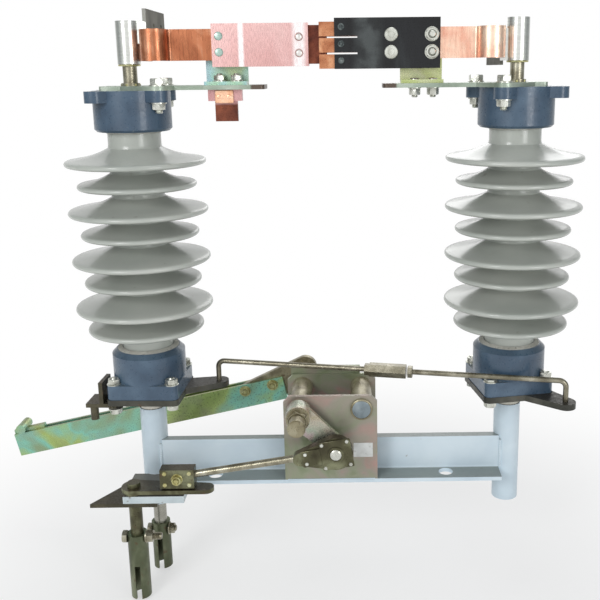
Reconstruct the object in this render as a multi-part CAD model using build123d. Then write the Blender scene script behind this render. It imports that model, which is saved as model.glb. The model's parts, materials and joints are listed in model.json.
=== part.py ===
from build123d import *
import os
from math import atan2, cos, degrees, hypot, radians, sin

# One pole of an outdoor centre-break disconnector with an earthing blade.
# Millimetres. Shapes are drawn in the frame of the two column axes: X from the left
# column to the right one, Y from the operating side to the back, Z up from the
# underside of the beam. write() moves them so that the origin lies in the middle
# of the beam's lower flange, which is the face that is bolted down.

# ---------------------------------------------------------------- driving sizes
COLUMN_SPACING = 550.0
INSULATOR_HEIGHT = 450.0

BEAM_HEIGHT = 58.0
BEAM_FLANGE = 40.0             # lower flange, from its front edge to the back of the web
BEAM_LIP = 14.0                # upper flange, from the front of the web to its back edge
BEAM_WALL = 6.0
BEAM_BACK = 11.0               # from the column axes forward to the back of the web
BEAM_END = 14.0                # from a column axis to the beam's end
MOUNT_HOLE_SPACING = 355.0
MOUNT_HOLE_RADIUS = 11.0

TUBE_RADIUS = 20.0
TUBE_BORE = 16.0
TUBE_TOP = 109.0
TUBE_BOTTOM = -50.0
BUSH_LENGTH = 26.0
SHAFT_RADIUS = 12.5
SHAFT_FIT = 0.05               # radial running clearance of every shaft in its bush
COLLAR_RADIUS = 19.0
RUN_GAP = 0.6                  # end float between turning and fixed flat faces
SEAT_GAP = 0.3                 # clearance under a turning washer
SHAFT_END = 4.0                # how far a shaft stands out under its bearing tube

LEVER_THICKNESS = 9.0
LEVER_SEAT = 129.0             # underside of the drive levers
LEVER_SIDE = 108.0
LEVER_WEB = 30.0               # radius of the crank's root, round the column axis
LEFT_CRANK_RADIUS = 104.0
RIGHT_CRANK_RADIUS = 104.0
LEFT_CRANK_ANGLE = 17.0        # right crank angle follows from the equal link length
CRANK_EYE = 15.0
LINK_ROD_RADIUS = 4.0
LINK_ROD_HEIGHT = 169.5
LINK_BEND = 10.0
LINK_PIN_PROUD = 3.0
TURNBUCKLE_LENGTH = 56.0
TURNBUCKLE_ACROSS = 19.0
TURNBUCKLE_FROM_RIGHT_CRANK = 234.5
LOCK_NUT_ACROSS = 16.0
LOCK_NUT_HEIGHT = 7.0
LINK_BREAK = 2.6               # gap between the two half rods at the turnbuckle

CAP_SIDE = 106.0
CAP_CORNER = 9.0
CAP_BASE = 22.0
BOLT_CIRCLE = 122.0
BOLT_HOLE = 6.5
BOTTOM_CAP_HEIGHT = 69.0
BOTTOM_CAP_RADIUS = 54.0
TOP_CAP_HEIGHT = 57.0
TOP_CAP_RADIUS = 54.5
CAP_CHAMFER = 7.0
EAR_RADIUS = 14.0
EAR_ROOT = 19.0                # radius of an ear where it leaves the cup
EAR_THICKNESS = 16.0
LEFT_BASE_TURN = -2.5
RIGHT_BASE_TURN = 10.0
LEFT_TOP_TURN = 5.0
RIGHT_TOP_TURN = 18.0

NECK_RADIUS = 37.5
NECK_DEPTH = 34.0              # how far the porcelain is cemented into its caps
LARGE_SHED_RADIUS = 100.0
SMALL_SHED_RADIUS = 85.0
SHED_PAIRS = 4
SHED_PITCH = 71.2
SHED_STEP = 33.5               # from a large shed down to the small one below it
FIRST_SHED = 102.0             # from the top of the insulator down to the first rim
SHED_RIM = 4.6
SHED_RISE = 18.0
SHED_UNDERCUT = 5.0

TOP_PLATE_THICKNESS = 6.0
TOP_PLATE_WIDTH = 50.0
TOP_PLATE_BACK = 40.0
TOP_PLATE_REACH = 192.0
TOP_PLATE_CORNER = 6.0
TOP_PLATE_TAPER = 60.0         # where the pad over the cap runs out into the arm

STUD_RADIUS = 10.0
STUD_LENGTH = 30.0
STUD_COLLAR_RADIUS = 13.0
STUD_COLLAR_HEIGHT = 4.0
HEAD_RADIUS = 16.0
HEAD_HEIGHT = 59.0
PALM_THICKNESS = 5.0
PALM_HEIGHT = 50.0
PALM_START = 30.0
PALM_END = 152.0
PALM_HOLE_RADIUS = 7.0
PALM_HOLE_SPACING = 50.0
PALM_HOLE_SHIFT = 12.0         # the hole pair lies this far beyond the palm's middle
LEFT_PALM_RISE = 28.0          # underside of the palm above the underside of its head
RIGHT_PALM_RISE = -6.0

CONTACT_RISE = 25.0            # blade plates above the top plates
CONTACT_HEIGHT = 59.0
BLADE_ROOT = 156.0             # |x| of the outer end of the blade plates
BLADE_END = 21.0               # |x| of the inner end of the blade plates
BLADE_PLATE = 5.0
BLADE_HALF_GAP = 7.0
TONGUE_ROOT = 50.0             # how deep the tongue is held between the blade plates
TONGUE_TIP = 5.0               # x of the tongue's tip, past the middle
TONGUE_HALF = 4.0
TONGUE_INSET = 3.0             # the tongue is this much lower than the blade at both edges
FINGER_GAP = 1.5               # open space between tongue and finger
FINGER_THICKNESS = 4.5
FINGER_TIP = -6.0
FINGER_SPACE = 2.5
FINGER_DROP = 4.0              # fingers below the blade plates' underside
FINGER_STACK = 64.0            # height of the three fingers together
LEAF_THICKNESS = 2.5
LEAF_TIP = 15.5
LEAF_SLOT_END = 48.0
LEAF_UNDER = 0.5               # spring plates beyond the fingers, below and above
LEAF_OVER = 5.0
SPACER_START = 75.0
STRAP_HEIGHT = 43.0
STRAP_INSET = 9.0              # strap's lower edge above the blade plates' underside
STRAP_THICKNESS = 4.0
STRAP_LOOP = 17.0
STRAP_END = 120.0              # |x| of the strap's end inside the contact arm
STRAP_LAP = 8.0                # how far the strap lies on the palm
BRACKET_START = 109.0
BRACKET_END = 169.0
BRACKET_PLATE = 5.0
BRACKET_INSET = 10.0           # bracket's top edge below the blade plates' upper edge

BOX_CENTRE = 1.5
BOX_WIDTH = 140.0
BOX_PLATE = 6.0
BOX_REAR = 41.0                # y of the rear plate's front face
BOX_REAR_BOTTOM = 11.0
BOX_CHAMFER = 9.0
BOX_SHAFT_EDGE = 23.5          # from a tube's axis to the side edge of the plates
BOX_SHAFT_HEIGHT = 119.5
BOX_HEADROOM = 21.0            # from the tubes' axes to the plates' upper edge
BOX_TUBE_RADIUS = 16.5
BOX_TUBE_PROUD = 3.0
BACK_STRIP_LENGTH = 110.0
BACK_STRIP_SHIFT = -9.5        # the strip's middle from the box's middle
BACK_STRIP_TOP = 11.0          # above the plates' upper edge
BACK_STRIP_LAP = 4.0

EARTH_SHAFT_RADIUS = 12.0
EARTH_SHAFT_FRONT = -122.0
EARTH_CRANK_RADIUS = 75.3
EARTH_CRANK_ANGLE = -43.3
EARTH_CRANK_PLATE = 8.0
EARTH_CRANK_FRONT = -73.0
CRANK_HUB_FRONT = 14.0         # crank hub in front of the crank's plate and behind it
CRANK_HUB_BACK = 6.0
EARTH_HUB_RADIUS = 19.0
EARTH_HUB_LENGTH = 130.0
EARTH_HUB_END = 14.0
EARTH_PLANE = 135.0            # y of the earthing blade, and reach of its fixed contact
EARTH_REST_ANGLE = 192.1
EARTH_DROP = 26.0              # blade centre line below the shaft axis
EARTH_BAR_HEIGHT = 40.0
EARTH_BAR_THICKNESS = 5.0
EARTH_BAR_HALF_GAP = 5.0
EARTH_BAR_START = 42.0
EARTH_BAR_END = 517.0
EARTH_PAD_RADIUS = 8.0
EARTH_PAD_REACH = 500.0
EARTH_PAD_OFFSET = 3.0
EARTH_PAD_HALF = 17.0
EARTH_TIP_ROOT = 36.0
EARTH_CONTACT_THICKNESS = 6.0
EARTH_CONTACT_DROP = 45.0
EARTH_CONTACT_WIDTH = 32.0
EARTH_FOOT_WIDTH = 48.0
EARTH_FOOT_HEIGHT = 16.0
EARTH_FOOT_DEPTH = 10.0

EARTH_PIVOT_LEFT = 17.0        # the earthing drive's spindle from the left column's axis
EARTH_PIVOT_FRONT = 76.0
EARTH_BALL_RIGHT = 51.0        # its ball from the left column's axis
EARTH_BALL_FRONT = 82.0
EARTH_LEVER_GAP = 5.0          # between the lever and the bearing plate
EARTH_LEVER_THICKNESS = 6.0
EARTH_LEVER_EYE = 18.0
EARTH_LEVER_END = 12.0
EARTH_LEVER_OVER = 40.0        # how far the lever runs on beyond its ball
EARTH_BALL_HEIGHT = 30.0
BALL_RADIUS = 8.0
BALL_STUD_RADIUS = 4.5
BALL_GAP = 0.3
EARTH_LINK_RADIUS = 5.5
BALL_TO_CRANK = 14.0           # from the right ball's centre back to the crank's face
LEFT_HOUSING = (50.0, 20.0, 29.0)
RIGHT_HOUSING_RADIUS = 25.0
RIGHT_HOUSING_LENGTH = 54.0
RIGHT_HOUSING_END = 9.5
RIGHT_HOUSING_THICKNESS = 14.0

BEARING_PLATE_LEFT = 31.0      # bearing plate from the left column's axis, each way
BEARING_PLATE_RIGHT = 59.0
BEARING_PLATE_FRONT = 90.0
BEARING_PLATE_LOW = 9.0        # below the beam's underside
BEARING_PLATE_HIGH = 2.0       # above it, against the cut end of the flange
STOP_PLATE_THICKNESS = 6.0
STOP_PLATE_POINT = 80.0        # the point from the left column's axis
STOP_PLATE_SHOULDER = 38.0
STOP_PLATE_RIGHT = 19.0
STOP_PLATE_BACK = 24.0
SOCKET_RADIUS = 14.5
SOCKET_BORE = 11.0
SOCKET_BOTTOM = -166.0
SOCKET_TOP = -88.0
SOCKET_DEPTH = 55.0
SOCKET_SHAFT_RADIUS = 10.0
SOCKET_LAP = 10.0
SOCKET_SLOT = 8.0
EARTH_SOCKET_RADIUS = 15.0
EARTH_SOCKET_BOTTOM = -168.0
EARTH_SOCKET_TOP = -64.0
EARTH_SOCKET_SHAFT = 9.5
EARTH_SOCKET_LAP = 20.0

# ---------------------------------------------------------------- places that follow
LEFT_X = -COLUMN_SPACING / 2
RIGHT_X = COLUMN_SPACING / 2
WEB_FRONT = -BEAM_BACK - BEAM_WALL
FLANGE_FRONT = -BEAM_BACK - BEAM_FLANGE
ORIGIN_SHIFT = BEAM_BACK + BEAM_FLANGE / 2
LEVER_TOP = LEVER_SEAT + LEVER_THICKNESS
INSULATOR_TOP = LEVER_TOP + INSULATOR_HEIGHT
PLATE_TOP = INSULATOR_TOP + TOP_PLATE_THICKNESS
HEAD_BOTTOM = PLATE_TOP + STUD_LENGTH
CONTACT_BOTTOM = PLATE_TOP + CONTACT_RISE
CONTACT_TOP = CONTACT_BOTTOM + CONTACT_HEIGHT
STRAP_BOTTOM = CONTACT_BOTTOM + STRAP_INSET
BRACKET_TOP = CONTACT_TOP - BRACKET_INSET
FINGER_BOTTOM = CONTACT_BOTTOM - FINGER_DROP
FINGER_TOP = FINGER_BOTTOM + FINGER_STACK
BLADE_OUTSIDE = BLADE_HALF_GAP + BLADE_PLATE
FINGER_INSIDE = TONGUE_HALF + FINGER_GAP
FINGER_OUTSIDE = FINGER_INSIDE + FINGER_THICKNESS
LEAF_OUTSIDE = FINGER_OUTSIDE + LEAF_THICKNESS
BOX_SHAFT_OFFSET = BOX_WIDTH / 2 - BOX_SHAFT_EDGE
BOX_TOP = BOX_SHAFT_HEIGHT + BOX_HEADROOM
BOX_FRONT = FLANGE_FRONT
EARTH_SHAFT_X = BOX_CENTRE - BOX_SHAFT_OFFSET
EARTH_SHAFT_Z = BOX_SHAFT_HEIGHT
EARTH_PIVOT = (LEFT_X - EARTH_PIVOT_LEFT, -EARTH_PIVOT_FRONT)
EARTH_LEVER_BALL = (LEFT_X + EARTH_BALL_RIGHT, -EARTH_BALL_FRONT)
EARTH_LEVER_BOTTOM = BEARING_PLATE_HIGH + EARTH_LEVER_GAP
PLATE_END = LEFT_X + BEARING_PLATE_RIGHT
AXIS_X = {"left": LEFT_X, "right": RIGHT_X}
INWARD = {"left": 1, "right": -1}
BASE_TURN = {"left": LEFT_BASE_TURN, "right": RIGHT_BASE_TURN}
TOP_TURN = {"left": LEFT_TOP_TURN, "right": RIGHT_TOP_TURN}


# ---------------------------------------------------------------- plain shapes
def upright(radius, bottom, top, x=0.0, y=0.0):
    """A round bar along Z."""
    return Pos(x, y, (bottom + top) / 2) * Cylinder(radius, top - bottom)


def crosswise(radius, front, back, x, z):
    """A round bar along Y."""
    return Pos(x, (front + back) / 2, z) * Rot(90, 0, 0) * Cylinder(radius, back - front)


def block(x_ends, y_ends, z_ends):
    """A box between two corners, given as pairs of ends in any order."""
    lows = [min(ends) for ends in (x_ends, y_ends, z_ends)]
    highs = [max(ends) for ends in (x_ends, y_ends, z_ends)]
    size = [high - low for low, high in zip(lows, highs)]
    return Pos(*[(low + high) / 2 for low, high in zip(lows, highs)]) * Box(*size)


def hull_sketch(circles):
    """The outline that wraps circles given as (x, y, radius)."""
    rims = [(Pos(x, y) * Circle(radius)).edges() for x, y, radius in circles]
    return make_hull([edge for rim in rims for edge in rim])


def polar(radius, angle):
    """A point at a radius and an angle in degrees."""
    return radius * cos(radians(angle)), radius * sin(radians(angle))


# ---------------------------------------------------------------- base
def channel_beam():
    """The carrying beam: a lower flange to the front, a web and a short lip to the back."""
    half = COLUMN_SPACING / 2 - BEAM_END
    lip_back = WEB_FRONT + BEAM_LIP
    profile = [(FLANGE_FRONT, 0), (-BEAM_BACK, 0), (-BEAM_BACK, BEAM_HEIGHT - BEAM_WALL),
               (lip_back, BEAM_HEIGHT - BEAM_WALL), (lip_back, BEAM_HEIGHT), (WEB_FRONT, BEAM_HEIGHT),
               (WEB_FRONT, BEAM_WALL), (FLANGE_FRONT, BEAM_WALL)]
    face = make_face(Polyline(*[(-half, y, z) for y, z in profile], close=True))
    beam = extrude(face, 2 * half, dir=(1, 0, 0))
    bends = beam.edges().filter_by(Axis.X)
    front_root = bends.sort_by_distance((0, WEB_FRONT, BEAM_WALL))[0]
    back_root = bends.sort_by_distance((0, -BEAM_BACK, BEAM_HEIGHT - BEAM_WALL))[0]
    beam = fillet([front_root, back_root], BEAM_WALL * 0.6)
    beam -= block((-half - 1, PLATE_END), (FLANGE_FRONT - 1, WEB_FRONT), (-1, 2 * BEAM_WALL))
    for x in (LEFT_X, RIGHT_X):
        beam -= upright(TUBE_RADIUS, -1, BEAM_HEIGHT + 1, x)
    middle = (FLANGE_FRONT - BEAM_BACK) / 2
    for side in (-1, 1):
        beam -= upright(MOUNT_HOLE_RADIUS, -1, BEAM_WALL + 1, side * MOUNT_HOLE_SPACING / 2, middle)
    return beam


def bearing_tube(x):
    """The upright tube that a column's shaft turns in, bored for two bushes."""
    tube = upright(TUBE_RADIUS, TUBE_BOTTOM, TUBE_TOP, x) - upright(TUBE_BORE, TUBE_BOTTOM, TUBE_TOP, x)
    return tube


def column_bushes(x):
    """The bushes at both ends of a bearing tube."""
    rings = []
    for bottom in (TUBE_BOTTOM, TUBE_TOP - BUSH_LENGTH):
        top = bottom + BUSH_LENGTH
        rings.append(upright(TUBE_BORE, bottom, top, x) - upright(SHAFT_RADIUS + SHAFT_FIT, bottom, top, x))
    return rings


def box_plate(front, bottom):
    """One of the two side plates of the earthing drive's box."""
    left = BOX_CENTRE - BOX_WIDTH / 2
    right = BOX_CENTRE + BOX_WIDTH / 2
    plate = block((left, right), (front, front + BOX_PLATE), (bottom, BOX_TOP))
    corners = plate.edges().filter_by(Axis.Y).group_by(Axis.Z)[-1]
    plate = chamfer(corners, BOX_CHAMFER)
    for side in (-1, 1):
        x = BOX_CENTRE + side * BOX_SHAFT_OFFSET
        plate -= crosswise(BOX_TUBE_RADIUS, front - 1, front + BOX_PLATE + 1, x, BOX_SHAFT_HEIGHT)
    return plate


def box_back_strip():
    """The flat strip along the upper edge of the rear plate."""
    middle = BOX_CENTRE + BACK_STRIP_SHIFT
    ends = (middle - BACK_STRIP_LENGTH / 2, middle + BACK_STRIP_LENGTH / 2)
    back = BOX_REAR + BOX_PLATE
    return block(ends, (back, back + BOX_PLATE), (BOX_TOP - BACK_STRIP_LAP, BOX_TOP + BACK_STRIP_TOP))


def box_tube(side, bore):
    """A tube between the box plates: the left one is the earthing shaft's bearing."""
    x = BOX_CENTRE + side * BOX_SHAFT_OFFSET
    front = BOX_FRONT - BOX_TUBE_PROUD
    back = BOX_REAR + BOX_PLATE + BOX_TUBE_PROUD
    tube = crosswise(BOX_TUBE_RADIUS, front, back, x, BOX_SHAFT_HEIGHT)
    if bore:
        tube -= crosswise(bore, front - 1, back + 1, x, BOX_SHAFT_HEIGHT)
    return tube


def drive_bearing_plate():
    """The plate beside the left tube that carries the earthing drive's spindle."""
    ends = (LEFT_X - BEARING_PLATE_LEFT, PLATE_END)
    plate = block(ends, (-BEARING_PLATE_FRONT, WEB_FRONT), (-BEARING_PLATE_LOW, BEARING_PLATE_HIGH))
    plate -= upright(TUBE_RADIUS, -BEARING_PLATE_LOW - 1, BEARING_PLATE_HIGH + 1, LEFT_X)
    plate -= upright(EARTH_SOCKET_SHAFT + SHAFT_FIT, -BEARING_PLATE_LOW - 1, BEARING_PLATE_HIGH + 1, *EARTH_PIVOT)
    return plate


def stop_plate():
    """The pointed stop plate under the bearing plate."""
    right = LEFT_X + STOP_PLATE_RIGHT
    outline = Polyline((LEFT_X - STOP_PLATE_POINT, -BEARING_PLATE_FRONT), (right, -BEARING_PLATE_FRONT),
                       (right, -STOP_PLATE_BACK), (LEFT_X - STOP_PLATE_SHOULDER, -STOP_PLATE_BACK), close=True)
    bottom = -BEARING_PLATE_LOW - STOP_PLATE_THICKNESS
    plate = Pos(0, 0, bottom) * extrude(make_face(outline), STOP_PLATE_THICKNESS)
    plate -= upright(EARTH_SOCKET_SHAFT + 1, bottom - 1, 1 - BEARING_PLATE_LOW, *EARTH_PIVOT)
    return plate


# ---------------------------------------------------------------- main link
def right_crank_angle():
    """The right crank's angle for which the link is as long closed as open."""
    half = COLUMN_SPACING / 2
    left = radians(LEFT_CRANK_ANGLE)

    def mismatch(right):
        right_terms = RIGHT_CRANK_RADIUS * (cos(right) - sin(right))
        left_terms = LEFT_CRANK_RADIUS * (cos(left) + sin(left))
        return half * (right_terms - left_terms) - LEFT_CRANK_RADIUS * RIGHT_CRANK_RADIUS * cos(left - right)

    low, high = radians(-65), radians(-45)
    for _ in range(60):
        middle = (low + high) / 2
        if mismatch(low) * mismatch(middle) <= 0:
            high = middle
        else:
            low = middle
    return degrees((low + high) / 2)


CRANK_RADIUS = {"left": LEFT_CRANK_RADIUS, "right": RIGHT_CRANK_RADIUS}
CRANK_ANGLE = {"left": LEFT_CRANK_ANGLE, "right": right_crank_angle()}


def crank_pin(side):
    """Where a column's crank pin stands with the blades closed."""
    x, y = polar(CRANK_RADIUS[side], CRANK_ANGLE[side])
    return AXIS_X[side] + x, y


def link_frame():
    """The link's frame: origin over the left crank pin, X towards the right one."""
    (x0, y0), (x1, y1) = crank_pin("left"), crank_pin("right")
    return Pos(x0, y0, LINK_ROD_HEIGHT) * Rot(0, 0, degrees(atan2(y1 - y0, x1 - x0)))


def link_length():
    (x0, y0), (x1, y1) = crank_pin("left"), crank_pin("right")
    return hypot(x1 - x0, y1 - y0)


def bent_rod(start, end):
    """A round rod from a crank pin's foot, up, round a bend and along the link."""
    foot = LEVER_SEAT - LINK_PIN_PROUD - LINK_ROD_HEIGHT
    path = FilletPolyline((start, 0, foot), (start, 0, 0), (end, 0, 0), radius=LINK_BEND)
    section = Plane(origin=path @ 0, z_dir=path % 0) * Circle(LINK_ROD_RADIUS)
    return sweep(section, path=path)


def hex_along(across_flats, start, end):
    """A hexagonal bar along X, for the link."""
    return extrude(Plane.YZ.offset(start) * RegularPolygon(across_flats / 2, 6, major_radius=False), end - start)


def link_rod_left():
    """The left half of the link, with the turnbuckle and its left lock nut."""
    sleeve_end = link_length() - TURNBUCKLE_FROM_RIGHT_CRANK
    sleeve_start = sleeve_end - TURNBUCKLE_LENGTH
    rod = bent_rod(0, sleeve_start + 5)
    sleeve = hex_along(TURNBUCKLE_ACROSS, sleeve_start, sleeve_end)
    nut = hex_along(LOCK_NUT_ACROSS, sleeve_start - LOCK_NUT_HEIGHT, sleeve_start)
    return link_frame() * (rod + sleeve + nut)


def link_rod_right():
    """The right half of the link, with the lock nut that faces the turnbuckle."""
    length = link_length()
    start = length - TURNBUCKLE_FROM_RIGHT_CRANK + LINK_BREAK
    rod = bent_rod(length, start)
    nut = hex_along(LOCK_NUT_ACROSS, start, start + LOCK_NUT_HEIGHT)
    return link_frame() * (rod + nut)


# ---------------------------------------------------------------- columns
def column_shaft(side):
    """The column's spindle with the collar that rests on its tube."""
    x = AXIS_X[side]
    end = TUBE_BOTTOM - SHAFT_END
    shaft = upright(SHAFT_RADIUS, end, LEVER_SEAT, x)
    shaft += upright(COLLAR_RADIUS, TUBE_TOP + RUN_GAP, LEVER_SEAT, x)
    if side == "left":
        shaft += upright(SOCKET_SHAFT_RADIUS, SOCKET_TOP - SOCKET_LAP, end, x)
    return shaft


def drive_lever(side):
    """The plate under the insulator, with the arm that holds the crank pin."""
    pin_x, pin_y = polar(CRANK_RADIUS[side], CRANK_ANGLE[side])
    outline = Rot(0, 0, BASE_TURN[side]) * RectangleRounded(LEVER_SIDE, LEVER_SIDE, CAP_CORNER)
    outline += hull_sketch([(0, 0, LEVER_WEB), (pin_x, pin_y, CRANK_EYE)])
    outline -= Pos(pin_x, pin_y) * Circle(LINK_ROD_RADIUS + SHAFT_FIT)
    return Pos(AXIS_X[side], 0, LEVER_SEAT) * extrude(outline, LEVER_THICKNESS)


def bottom_cap(side):
    """The cast cap under the porcelain: a square foot with a round cup on it."""
    foot = extrude(RectangleRounded(CAP_SIDE, CAP_SIDE, CAP_CORNER), CAP_BASE)
    for corner in range(4):
        bolt_x, bolt_y = polar(BOLT_CIRCLE / 2, 45 + 90 * corner)
        foot -= upright(BOLT_HOLE, -1, CAP_BASE + 1, bolt_x, bolt_y)
    cup = upright(BOTTOM_CAP_RADIUS, CAP_BASE, BOTTOM_CAP_HEIGHT)
    cup = chamfer(cup.edges().group_by(Axis.Z)[-1], CAP_CHAMFER)
    cap = foot + cup
    cap -= upright(NECK_RADIUS, BOTTOM_CAP_HEIGHT - NECK_DEPTH, BOTTOM_CAP_HEIGHT + 1)
    return Pos(AXIS_X[side], 0, LEVER_TOP) * Rot(0, 0, BASE_TURN[side]) * cap


def top_cap(side):
    """The cast cap on the porcelain: a round cup with four bolting ears."""
    cup = upright(TOP_CAP_RADIUS, -TOP_CAP_HEIGHT, 0)
    cup = chamfer(cup.edges().group_by(Axis.Z)[0], CAP_CHAMFER / 2)
    for corner in range(4):
        ear_x, ear_y = polar(BOLT_CIRCLE / 2, 45 + 90 * corner)
        ear = hull_sketch([(ear_x * 0.5, ear_y * 0.5, EAR_ROOT), (ear_x, ear_y, EAR_RADIUS)])
        cup += Pos(0, 0, -EAR_THICKNESS) * extrude(ear, EAR_THICKNESS)
    for corner in range(4):
        bolt_x, bolt_y = polar(BOLT_CIRCLE / 2, 45 + 90 * corner)
        cup -= upright(BOLT_HOLE, -TOP_CAP_HEIGHT - 1, 1, bolt_x, bolt_y)
    cup -= upright(NECK_RADIUS, -TOP_CAP_HEIGHT - 1, NECK_DEPTH - TOP_CAP_HEIGHT)
    return Pos(AXIS_X[side], 0, INSULATOR_TOP) * Rot(0, 0, TOP_TURN[side]) * cup


def insulator(side):
    """The porcelain: a core with four large and four small sheds in turn."""
    x = AXIS_X[side]
    bottom = LEVER_TOP + BOTTOM_CAP_HEIGHT - NECK_DEPTH
    top = INSULATOR_TOP - TOP_CAP_HEIGHT + NECK_DEPTH
    points = [(0, top), (NECK_RADIUS, top)]
    rims = []
    for pair in range(SHED_PAIRS):
        large = INSULATOR_TOP - FIRST_SHED - pair * SHED_PITCH
        rims += [(LARGE_SHED_RADIUS, large), (SMALL_SHED_RADIUS, large - SHED_STEP)]
    for radius, height in rims:
        rise = SHED_RISE * radius / LARGE_SHED_RADIUS
        points += [(NECK_RADIUS, height + rise), (radius, height + SHED_RIM / 2)]
        points += [(radius, height - SHED_RIM / 2), (NECK_RADIUS, height - SHED_UNDERCUT + SHED_RIM)]
    points += [(NECK_RADIUS, bottom), (0, bottom)]
    face = make_face(Polyline(*[(radius, 0, height) for radius, height in points], close=True))
    rim_corners = [v for v in face.vertices() if v.X > SMALL_SHED_RADIUS - 1]
    face = fillet(rim_corners, SHED_RIM * 0.45)
    return Pos(x, 0, 0) * revolve(face, Axis.Z)


def top_plate(side):
    """The steel plate on the upper cap that carries the contact arm."""
    x, inward = AXIS_X[side], INWARD[side]
    ears = [polar(BOLT_CIRCLE / 2, TOP_TURN[side] + 45 + 90 * corner) for corner in range(4)]
    ears = sorted(ears, key=lambda ear: -inward * ear[0])[:2]
    rear_x = -inward * (TOP_PLATE_BACK - EAR_RADIUS)
    pad = hull_sketch([(ears[0][0], ears[0][1], EAR_RADIUS), (ears[1][0], ears[1][1], EAR_RADIUS),
                       (rear_x, 0, EAR_RADIUS), (inward * TOP_PLATE_TAPER, 0, EAR_RADIUS)])
    middle = inward * (TOP_PLATE_REACH - TOP_PLATE_BACK) / 2
    outline = Pos(middle, 0) * RectangleRounded(TOP_PLATE_REACH + TOP_PLATE_BACK, TOP_PLATE_WIDTH, TOP_PLATE_CORNER)
    outline += pad
    for ear_x, ear_y in ears:
        outline -= Pos(ear_x, ear_y) * Circle(BOLT_HOLE)
    outline -= Circle(STUD_RADIUS)
    return Pos(x, 0, INSULATOR_TOP) * extrude(outline, TOP_PLATE_THICKNESS)


def terminal(side):
    """The terminal head on its stud, with the palm for the line clamp."""
    x, inward = AXIS_X[side], INWARD[side]
    stud = upright(STUD_RADIUS, INSULATOR_TOP, HEAD_BOTTOM, x)
    stud += upright(STUD_COLLAR_RADIUS, PLATE_TOP, PLATE_TOP + STUD_COLLAR_HEIGHT, x)
    head = upright(HEAD_RADIUS, HEAD_BOTTOM, HEAD_BOTTOM + HEAD_HEIGHT, x)
    palm_near = x + inward * (HEAD_RADIUS - 1)
    palm_far = palm_near + inward * PALM_THICKNESS
    bottom = HEAD_BOTTOM + (LEFT_PALM_RISE if side == "left" else RIGHT_PALM_RISE)
    top = bottom + PALM_HEIGHT
    root_low = max(bottom, HEAD_BOTTOM)
    root_high = min(top, HEAD_BOTTOM + HEAD_HEIGHT)
    palm = block((palm_near, palm_far), (PALM_START, PALM_END), (bottom, top))
    root = block((palm_near, palm_far), (-HEAD_RADIUS / 3, PALM_START), (root_low, root_high))
    middle = (PALM_START + PALM_END) / 2 + PALM_HOLE_SHIFT
    for offset in (-PALM_HOLE_SPACING / 2, PALM_HOLE_SPACING / 2):
        hole = Pos(palm_near, middle + offset, (bottom + top) / 2) * Rot(0, 90, 0)
        palm -= hole * Cylinder(PALM_HOLE_RADIUS, 4 * PALM_THICKNESS)
    return stud, head + root + palm


def flexible_strap(side):
    """The laminated copper strap from the terminal head to the contact arm."""
    x, inward = AXIS_X[side], INWARD[side]
    start_x = x + inward * (HEAD_RADIUS - 1 + PALM_THICKNESS + STRAP_THICKNESS / 2)
    loop_x = start_x + inward * 2 * STRAP_LOOP
    lap_y = strap_lap(side)
    end_x = -inward * STRAP_END
    turn_y = lap_y - STRAP_LOOP / 2
    points = [(start_x, PALM_START + STRAP_LAP), (start_x, turn_y - STRAP_LOOP), (loop_x, turn_y - STRAP_LOOP),
              (loop_x, lap_y), (end_x, lap_y)]
    corner = STRAP_LOOP - 0.2
    path = FilletPolyline(*points, radius=[corner, corner, STRAP_THICKNESS * 1.5])
    return Pos(0, 0, STRAP_BOTTOM) * extrude(trace(path, STRAP_THICKNESS), STRAP_HEIGHT)


def strap_lap(side):
    """The y of the strap's middle where it is clamped in its contact arm."""
    inside = BLADE_HALF_GAP if side == "left" else FINGER_INSIDE
    return -inside + STRAP_THICKNESS / 2


def contact_bracket(side):
    """The angle bracket that stands on the top plate behind the contact arm."""
    inward = INWARD[side]
    ends = (-inward * BRACKET_START, -inward * BRACKET_END)
    back = BLADE_OUTSIDE if side == "left" else LEAF_OUTSIDE
    foot = block(ends, (-BLADE_OUTSIDE, back + BRACKET_PLATE), (PLATE_TOP, PLATE_TOP + BRACKET_PLATE))
    wall = block(ends, (back, back + BRACKET_PLATE), (PLATE_TOP, BRACKET_TOP))
    return foot + wall


def blade_plates():
    """The two copper plates of the left contact arm."""
    plates = []
    for side in (-1, 1):
        ends = (side * BLADE_HALF_GAP, side * BLADE_OUTSIDE)
        plate = block((-BLADE_ROOT, -BLADE_END), ends, (CONTACT_BOTTOM, CONTACT_TOP))
        plates.append(plate)
    return plates


def blade_spacer():
    """The block that holds the blade plates apart behind the strap."""
    strap_back = -BLADE_HALF_GAP + STRAP_THICKNESS
    return block((-BLADE_ROOT, -BRACKET_START), (strap_back, BLADE_HALF_GAP), (CONTACT_BOTTOM, CONTACT_TOP))


def contact_tongue():
    """The tongue between the blade plates that enters the fingers."""
    low, high = CONTACT_BOTTOM + TONGUE_INSET, CONTACT_TOP - TONGUE_INSET
    root = block((-BLADE_END - TONGUE_ROOT, -BLADE_END), (-BLADE_HALF_GAP, BLADE_HALF_GAP), (low, high))
    tip = block((-BLADE_END, TONGUE_TIP), (-TONGUE_HALF, TONGUE_HALF), (low, high))
    tip_edges = tip.edges().filter_by(Axis.Z).group_by(Axis.X)[-1]
    tip = fillet(tip_edges, TONGUE_HALF * 0.9)
    return root + tip


def finger_rows():
    """Lowest and highest z of each contact finger."""
    height = (FINGER_STACK - 2 * FINGER_SPACE) / 3
    starts = [FINGER_BOTTOM + row * (height + FINGER_SPACE) for row in range(3)]
    return [(start, start + height) for start in starts]


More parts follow.
